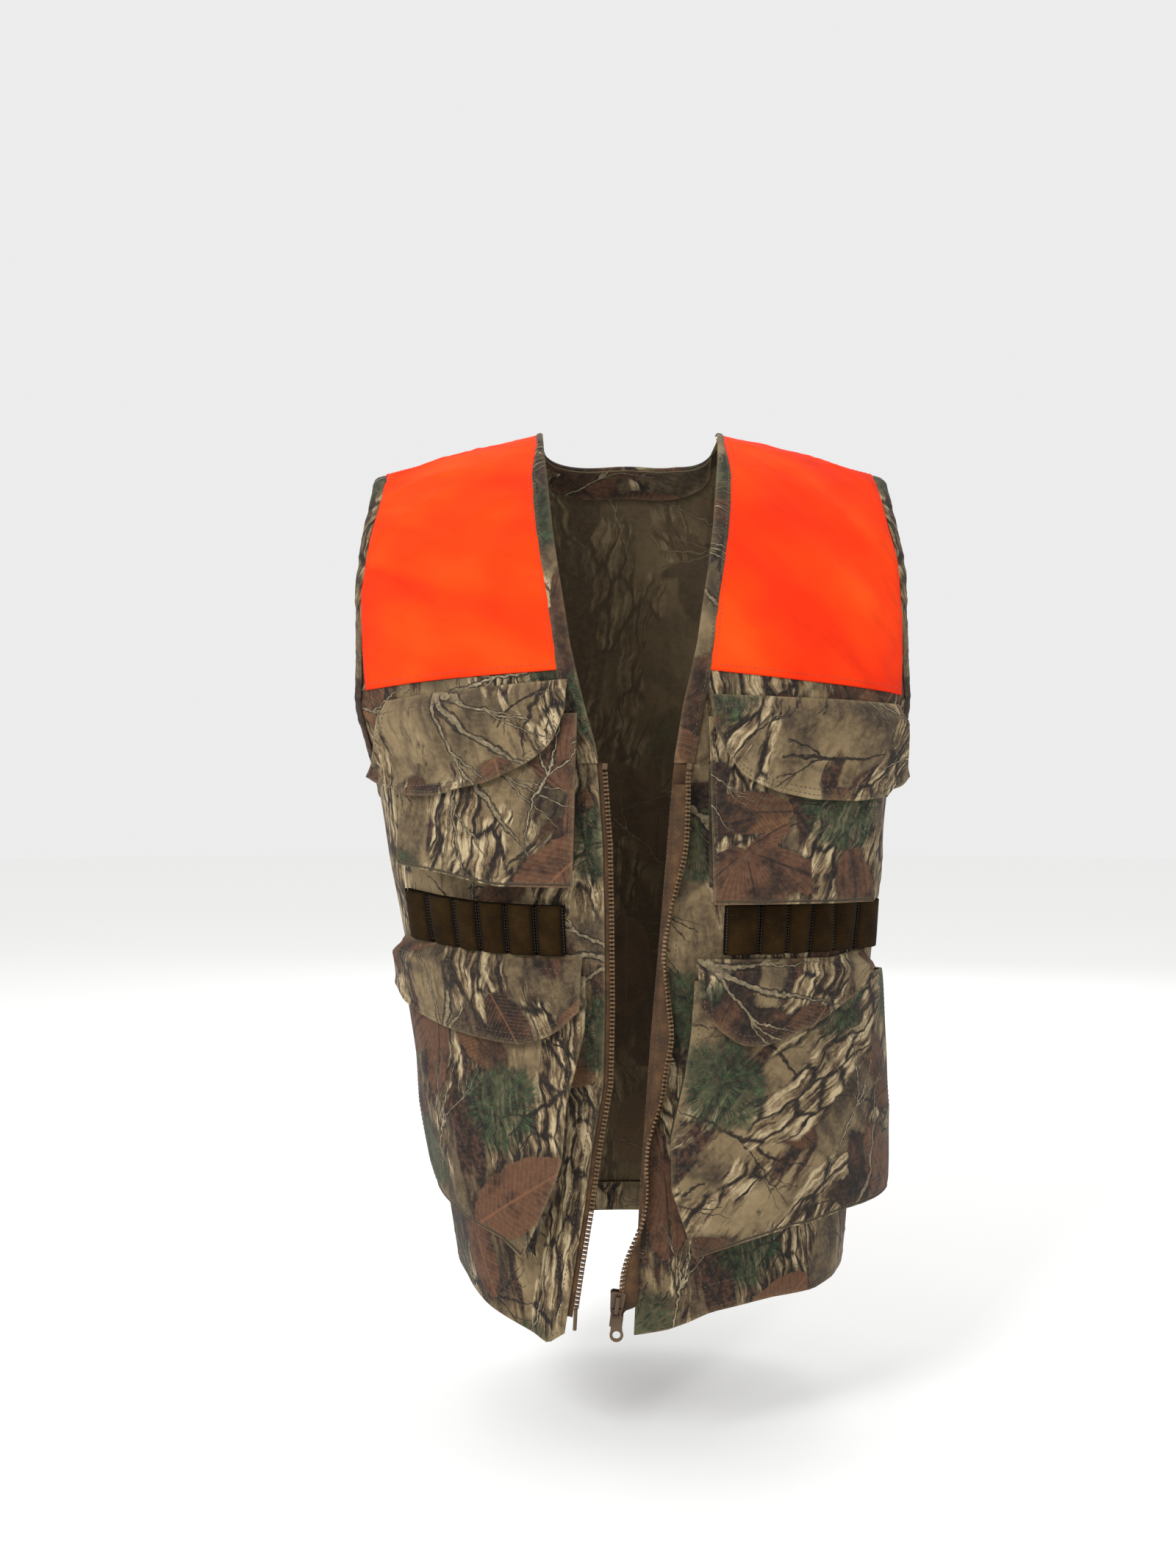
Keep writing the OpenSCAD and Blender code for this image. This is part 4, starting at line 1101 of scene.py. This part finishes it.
def build_pocket(side, kind, p, seed):
    s = f"{NAME[side]}_{kind}"
    low = kind == "lower"

    def spot(u, v):
        h = pocket_drop(p, u, v)
        return side * across(side, p, u, h), run_at(FRONT, h), stand_off(p, u, v)

    def folds(u, v, x, y):
        mid = smooth(u / 0.18) * smooth((1 - u) / 0.18) * smooth((1 - v) / 0.12)
        shown = smooth((v - 0.30) / 0.2)
        belly = (4.0 if low else 1.6) * np.sin(math.pi * np.clip(u, 0, 1)) * np.sin(math.pi * v)
        sag = (2.5 if low else 1.7) * (crease(x, y, 62 * side, 75, 30, seed, 3)
            + 0.7 * crease(x, y, -25 * side, 60, 20, seed + 3, 4) - 0.5)
        rim = np.exp(-((1 - v) / 0.03) ** 2) * 1.0
        return shown * (belly + mid * sag) + 0.3 * noise(x / 9, y / 9, seed) * mid - rim

    width, height = (110, 165) if low else (108, 112)
    face_s = Surface(FRONT, spot, folds, turn=(11 if low else -14) * side + 9 * seed,
        shift=(60 * seed, -35 * seed))
    face = cloth(s + "_pocket_face", face_s, stops(width, 3.6), stops(height, 3.6), *POCKET_LAYER,
        (CAMO, LINING))
    own(face, "camo_cloth", f"{s}_pocket")
    wall_s = Wall(side, p, width, height, 5.5 if low else 4.5, seed)
    # the walls take the darkened gusset copy, painted shade in the gap between pocket and front
    wall = cloth(s + "_pocket_wall", wall_s, even(151), even(11), -0.5, 0.5,
        (SHADED_GUSSET,))
    own(wall, "camo_trim", f"{s}_pocket_gusset")
    du, dv = 2.4 / width, 2.4 / height
    v = even(160, 0.02, 1 - dv)
    u = even(160, du, 1 - du)
    rows = [line(face_s, du, v, ON_POCKET), line(face_s, 1 - du, v, ON_POCKET),
        line(face_s, u, 1 - dv, ON_POCKET)]
    seams = stitches(s + "_pocket_stitches", rows, BROWN_THREAD)
    for piece in (face, wall, seams):
        attach(piece, side, sewn=True)
    declare(face)
    declare(wall)


def flap_spot(side, f, p):
    def spot_d(u, d):
        h = look(u, f[2]) + d
        angle = across(side, f, u, h)
        near, far = across(side, p, 0, h), across(side, p, 1, h)
        pu = np.clip((angle - near) / (far - near), 0, 1)
        pv = np.maximum((h - p[2]) / (look(pu, p[3]) - p[2]), 0)
        stand = mix(3.0, stand_off(p, pu, pv) + 1.2 + FLAP_LIFT, smooth(d / 10))
        return side * angle, run_at(FRONT, h), stand
    return spot_d


FLAP_WIDE = 125     # a flap across, near enough for its grid and its rows of thread


def build_flap(side, kind, f, p, seed, tab):
    s = f"{NAME[side]}_{kind}"
    lengths = np.asarray(f[3], float)
    spot_d = flap_spot(side, f, p)

    def length(u):
        # the listed lengths, rounded off between their points
        return sum(look(np.clip(u + k * 0.022, 0, 1), lengths) for k in (-1, 0, 1)) / 3

    def spot(u, v):
        return spot_d(u, v * length(u))

    def folds(u, v, x, y):
        loose = smooth(v / 0.5)
        wave = 1.5 * loose * noise(u * 3.2, v * 1.5, seed)
        curl = 1.2 * loose * smooth((v - 0.8) / 0.2)
        top = 0.9 * np.exp(-((v - 0.05) / 0.035) ** 2) - 0.5 * np.exp(-((v - 0.125) / 0.018) ** 2)
        return np.maximum(wave + curl, -0.9) + top + 0.25 * noise(x / 8, y / 8, seed + 2) \
            + 0.5 * crease(x, y, 20 * side, 60, 24, seed + 4, 4) * loose

    surf = Surface(FRONT, spot, folds, turn=(9 * seed - 45) * side, shift=(-75 * seed, 45 * seed))
    flap = cloth(s + "_flap_cloth", surf, stops(FLAP_WIDE, 3.4), stops(60, 3.2), *FLAP_LAYER,
        (CAMO, TRIM), wrap=0.45)
    own(flap, "camo_cloth", s + "_flap")
    rows = []
    for inset in (2.2, 6.0):
        near, ends = inset / FLAP_WIDE, np.ones(40)
        u = np.concatenate([near * ends, even(160, near, 1 - near), (1 - near) * ends])
        v = np.concatenate([even(40, 0.14, 0.90), np.ones(160), even(40, 0.90, 0.14)])
        rows.append(line(surf, u, np.minimum(v, 1 - inset / length(u)), ON_FLAP))
    u = even(160, 0.01, 0.99)
    rows.append(line(surf, u, 7.0 / length(u), ON_FLAP))
    seams = stitches(s + "_flap_stitches", rows, BROWN_THREAD)
    hook = tab_piece(spot_d, tab, s + "_hook_tape", -1.1, -0.25, HOOK)
    own(hook, "hook_and_loop", s + "_flap_hook")
    loop = tab_piece(spot_d, tab, s + "_loop_tape", 0.15 - FLAP_LIFT, 1.0 - FLAP_LIFT, LOOP)
    own(loop, "hook_and_loop", s + "_pocket_loop")
    for piece in (flap, seams, hook):
        attach(piece, side, flap=kind)
    attach(loop, side, sewn=True)
    declare(flap)


TAB_WIDE, TAB_HIGH = 40, 16


def tab_piece(spot_d, tab, name, lo, hi, mat):
    """A strip of touch tape with rounded corners, at a share across and a drop below the seam."""
    def spot(u, v):
        pinch = 1 - 0.06 * np.abs(2 * v - 1) ** 6
        return spot_d(tab[0] + (u - 0.5) * TAB_WIDE / 130 * pinch, tab[1] + (v - 0.5) * TAB_HIGH)
    return cloth(name, Surface(FRONT, spot, shift=(5, 5)), stops(TAB_WIDE, 4),
        stops(TAB_HIGH, 3), lo, hi, (mat,))


# ---------------------------------------------------------------- shell loops

# angles of the seams between the loops
LOOP_SEAMS = {RIGHT: [15.8, 22.5, 29.6, 36.8, 44, 54, 65],
    LEFT: [19.5, 27.5, 34.5, 41.2, 48.7, 57.5, 70.5]}
LOOPS, LOOP_TOP, LOOP_HIGH = 6, 332, 32


def build_loops(side):
    s = NAME[side]
    seams_at = LOOP_SEAMS[side]
    tilt = 0 if side > 0 else -8

    def spot_of(rise, back):
        def spot(u, v):
            angle = np.interp(u * LOOPS, range(LOOPS + 1), seams_at)
            h = LOOP_TOP + tilt * u * u + LOOP_HIGH * v
            k = np.minimum(np.floor(u * LOOPS + 1e-6), LOOPS - 1)
            tall = 0.85 + 0.15 * noise(k * 3.7, 0 * k, 5)
            bow = np.abs(np.sin(math.pi * u * LOOPS)) ** 0.55
            return side * angle, run_at(FRONT, h), back + rise * bow * tall \
                * (1 - 0.10 * (2 * v - 1) ** 2)
        return spot
    u_at = np.concatenate([(k + np.concatenate([[0, 0.03, 0.07, 0.13], even(8, 0.2, 0.8),
        [0.87, 0.93, 0.97]])) / LOOPS for k in range(LOOPS)] + [[1.0]])
    band_s = Surface(FRONT, spot_of(6.4, 3.2))
    # painted shade: the elastic turns near black in the slots between the loops, and wide sets how far
    # that reaches
    wide = 0.42 if side < 0 else 0.24
    band = cloth(s + "_loop_elastic", band_s, u_at, stops(LOOP_HIGH, 4), 0.0, 1.2, (ELASTIC,),
        painted_slot_shade=lambda u, v: np.exp(-(np.abs(np.sin(math.pi * u * LOOPS)) / wide) ** 4))
    own(band, "elastic", s + "_shell_loops")
    strip = cloth(s + "_loop_backing", Surface(FRONT, spot_of(0.0, 1.7)), even(60),
        stops(LOOP_HIGH, 5), 0.0, 1.0, (ELASTIC,))
    own(strip, "elastic")
    rows = []
    v = even(40, 0.03, 0.97)
    for k in range(LOOPS + 1):
        for shift in (-0.006, 0.006):
            u = min(max(k / LOOPS + shift, 0.004), 0.996)
            rows.append(line(band_s, u, v, ON_POCKET))
    seams = stitches(s + "_loop_stitches", rows, DARK_THREAD, pitch=1.9, dash=1.4, r=0.25)
    for piece in (band, strip, seams):
        attach(piece, side, sewn=True)
    declare(band)
    declare(strip)


# ---------------------------------------------------------------- zip

# how far the wearer's left chain strays from its straight line, nought at both ends
STRAY = [[243, 0], [295, 5], [332, 0], [363, -1.5], [400, 7], [418, 12], [440, 10], [461, 10.5],
    [480, 5.5], [498, 4.7], [521, 9], [541, 8], [556, 3], [572, -1], [585, 0]]


CHAIN_TOP, CHAIN_FOOT, TOOTH_PITCH = 243, {RIGHT: 598, LEFT: 585}, 2.75


def chain(side, h):
    """The middle of a chain of teeth at a drop h."""
    if side == LEFT:
        t = (h - CHAIN_TOP) / 342
        x = mix(36.0, -8.0, t) + sum(look(h + k, STRAY) for k in (-7, 0, 7)) / 3 \
            * smooth((h - CHAIN_TOP) / 14) * smooth((CHAIN_FOOT[LEFT] - h) / 14)
        return np.stack([x, -127.8 + 0 * x, -h + 0 * x], -1)
    x = -(look(h, EDGE[RIGHT]) - 5)
    return np.stack([x, mix(-121.2, -118.4, (h - CHAIN_TOP) / 356), -h + 0 * x], -1)


TAPE_TOP, TAPE_FOOT = 252.5, 601.0
OUTBOARD = np.array([1.0, 0, 0])


def lay_at(side, x, h, off):
    """A point of a front, x from the middle line and h below the shoulder."""
    return lay(FRONT, side * angle_of(side, x, h), run_at(FRONT, h), off)


def bow(a, b, c, s):
    """From a to c, bent towards b."""
    s = s[..., None]
    return a * (1 - s) ** 2 + 2 * b * s * (1 - s) + c * s * s


def left_tape(u, v):
    """From inside the front edge, round it and out to the chain, and down into the box."""
    h = mix(TAPE_TOP, TAPE_FOOT, v)
    edge = look(h, EDGE[LEFT])
    start = lay_at(LEFT, edge + 4, h, -1.2)
    bend = lay_at(LEFT, np.maximum(edge - 1.6, 0), h, 0.4)
    end = chain(LEFT, h)
    far = np.abs(end[..., 0] - edge)
    front = lay_at(LEFT, edge + 1.0, h, 3.0)
    puff = np.sqrt(np.clip(12.0 ** 2 - far ** 2, 4.0, None)) * 0.42
    arch = (front + end) / 2 + np.stack([0 * puff, -puff, 0 * puff], -1)
    t = u * 3
    first = bow(start, bend + (bend - start) * 0.35, front, np.clip(t / 1.2, 0, 1))
    s = np.clip((t - 1.2) / 1.8, 0, 1)
    second = bow(front, arch, end, s)
    # level with the chain near the top, where the slider's two plates close over it
    slot = end - 8.0 * OUTBOARD
    level = mix(front, slot, np.clip(s / 0.4, 0, 1)[..., None])
    level = mix(level, end, np.clip(s / 0.6 - 0.667, 0, 1)[..., None])
    second = mix(second, level, smooth((274 - h) / 14)[..., None])
    foot = end + (2.7 * (1 - u))[..., None] * np.array([1.0, 0, 0.13])
    worn = np.where((t < 1.2)[..., None], first, second)
    return mix(worn, foot, smooth((h - 594) / 4)[..., None])


def chain_cord(u, v):
    """The left tape's beaded edge, which carries the chain on past its cut end to the stop."""
    return chain(LEFT, mix(237.5, 255.0, v)) + mix(-1.5, 0.8, u)[..., None] * OUTBOARD


def tape_end(u, v):
    """The left tape's top end, folded flat on the front where the slider passes over it."""
    h = mix(236.5, 254.5, v)
    return lay_at(LEFT, look(h, EDGE[LEFT]) - 0.9 + 10.4 * u, h, 1.9)


def right_tape(u, v):
    h = mix(238.0, 604.0, v)
    inner = look(h, EDGE[RIGHT]) - 3.2
    mid = lay_at(RIGHT, mix(inner, inner + 9, u), h, -0.9)
    end = chain(RIGHT, h) + np.stack([-1.7 + 0 * h, 0 * h, 0 * h], -1)
    return mix(mid, end, (smooth((0.35 - u) / 0.35))[..., None])


# half of one moulded tooth in its own plane: along the chain, and out from the tape
TOOTH = [(-0.72, -1.6), (0.72, -1.6), (0.80, 0.0), (0.62, 0.5), (1.05, 1.1), (0.85, 1.75),
    (-0.85, 1.75), (-1.05, 1.1), (-0.62, 0.5), (-0.80, 0.0)]


def build_zip(side):
    s = NAME[side]
    place = left_tape if side > 0 else right_tape
    surf = Free(place, 22 if side > 0 else 10, 360)
    tape_u = even(22 if side > 0 else 9)
    tape = cloth(s + "_tape_cloth", surf, tape_u, even(180), -0.35, 0.35, (TAPE,))
    own(tape, "zip_tape", s + "_zip_tape")
    h = np.arange(CHAIN_TOP + 2.0, CHAIN_FOOT[side], TOOTH_PITCH)
    mid = chain(side, h)
    t = unit(chain(side, h - 1.5) - chain(side, h + 1.5))
    if side > 0:
        v = (h - TAPE_TOP) / (TAPE_FOOT - TAPE_TOP)
        out = unit(left_tape(1 + 0 * v, v) - left_tape(0.93 + 0 * v, v))
        out = unit(out - t * np.sum(out * t, -1, keepdims=True))
    else:
        out = unit(np.cross(t, np.array([0.0, 1.0, 0.0])))
        out = out * np.sign(out[..., :1])
    thick = np.cross(t, out)
    prof = np.asarray(TOOTH)
    points = []
    for level, scale in ((-1.45, 0.72), (-1.05, 1.0), (1.05, 1.0), (1.45, 0.72)):
        points.append(mid[:, None] + t[:, None] * prof[None, :, :1] * scale
            + out[:, None] * prof[None, :, 1:] * scale + thick[:, None] * level)
    pts = np.stack(points, 1).reshape(-1, 3)
    faces = sum((shaft(4, len(TOOTH), k * 4 * len(TOOTH)) for k in range(len(h))), [])
    teeth = solid(s + "_teeth_chain", pts, faces, TEETH, sharp=35)
    own(teeth, "zip_teeth", s + "_zip_teeth")
    v = np.linspace(0.01, 0.95 if side > 0 else 0.99, 300)
    at = (0.52, 0.30) if side > 0 else (0.72,)
    rows = [line(surf, u, v, 0.42 if surf_faces_out(surf, u) else -0.42) for u in at]
    seams = stitches(s + "_tape_stitches", rows, BROWN_THREAD)
    pieces = [tape, teeth, seams]
    if side > 0:
        cord = cloth(s + "_chain_cord", Free(chain_cord, 2.3, 18), even(4),
            even(14), -0.5, 0.5, (TAPE,))
        end = cloth(s + "_tape_end", Free(tape_end, 10.4, 18), even(8),
            even(14), -0.35, 0.35, (TAPE,))
        pieces += [own(cord, "zip_tape"), own(end, "zip_tape")]
    for piece in pieces:
        attach(piece, side, sewn=True)
    declare(tape)


def surf_faces_out(surf, u):
    p = surf.at(np.array([u]), np.array([0.5]), 0.0)
    return (surf.at(np.array([u]), np.array([0.5]), 1.0) - p)[0, 1] < 0


# ---------------------------------------------------------------- everything

build_back()
for side in (RIGHT, LEFT):
    build_front(side)
    k = 0 if side < 0 else 2
    build_pocket(side, "chest", CHEST[side], 1 + k)
    build_pocket(side, "lower", LOWER[side], 2 + k)
    build_flap(side, "chest", CHEST_FLAP[side], CHEST[side], 5 + k, (0.5, 46))
    build_flap(side, "lower", LOWER_FLAP[side], LOWER[side], 6 + k, (0.27, 36))
    build_loops(side)
    build_zip(side)
for name in ("zip_pin", "zip_box", "zip_slider", "zip_pull", "right_zip_top_stop",
        "left_zip_top_stop"):
    obj = frame["nodes"][name]
    obj.data.materials.clear()
    obj.data.materials.append(METAL)

# ---------------------------------------------------------------- stage


def plain(name, code, rough):
    mat = bpy.data.materials.new(name)
    mat.use_nodes = True
    b = mat.node_tree.nodes["Principled BSDF"]
    b.inputs["Base Color"].default_value = srgb(code)
    b.inputs["Roughness"].default_value = rough
    return mat


FLOOR = -0.70       # metres
floor_mesh = bpy.data.meshes.new("floor")
ring = [(9 * math.cos(a), 9 * math.sin(a), FLOOR) for a in np.arange(64) / 64 * 2 * math.pi]
floor_mesh.from_pydata(ring, [], [tuple(range(64))])
floor_mesh.materials.append(plain("pale_floor", "fdfdfc", 0.95))
floor = bpy.data.objects.new("floor", floor_mesh)
bpy.context.scene.collection.objects.link(floor)


def lamp(name, at, aim, size, power):
    data = bpy.data.lights.new(name, "AREA")
    data.shape, data.size, data.size_y, data.energy = "RECTANGLE", size, size, power
    obj = bpy.data.objects.new(name, data)
    obj.location = at
    obj.rotation_mode = "QUATERNION"
    obj.rotation_quaternion = (Vector(aim) - Vector(at)).to_track_quat("-Z", "Y")
    bpy.context.scene.collection.objects.link(obj)


lamp("key", (-1.3, -1.9, 1.1), (0, 0, -0.3), 0.9, 40)
lamp("fill", (1.9, -1.6, 0.3), (0, 0, -0.3), 1.6, 4)
lamp("top", (0.0, 0.2, 2.0), (0, 0, -0.2), 1.4, 9)
lamp("rear", (0.4, 2.2, 0.8), (0, 0, -0.3), 1.8, 8)
world = bpy.data.worlds.new("studio")
world.use_nodes = True
world.node_tree.nodes["Background"].inputs[0].default_value = srgb("ffffff")
world.node_tree.nodes["Background"].inputs[1].default_value = 0.84
bpy.context.scene.world = world

camera = bpy.data.cameras.new("camera")
camera.lens, camera.sensor_width, camera.sensor_fit = 36.57, 36, "AUTO"
eye = bpy.data.objects.new("camera", camera)
eye.location = (-0.030, -1.170, -0.252)
eye.rotation_euler = (math.pi / 2, 0, 0)
bpy.context.scene.collection.objects.link(eye)
bpy.context.scene.camera = eye
bpy.context.scene.view_settings.view_transform = "Standard"
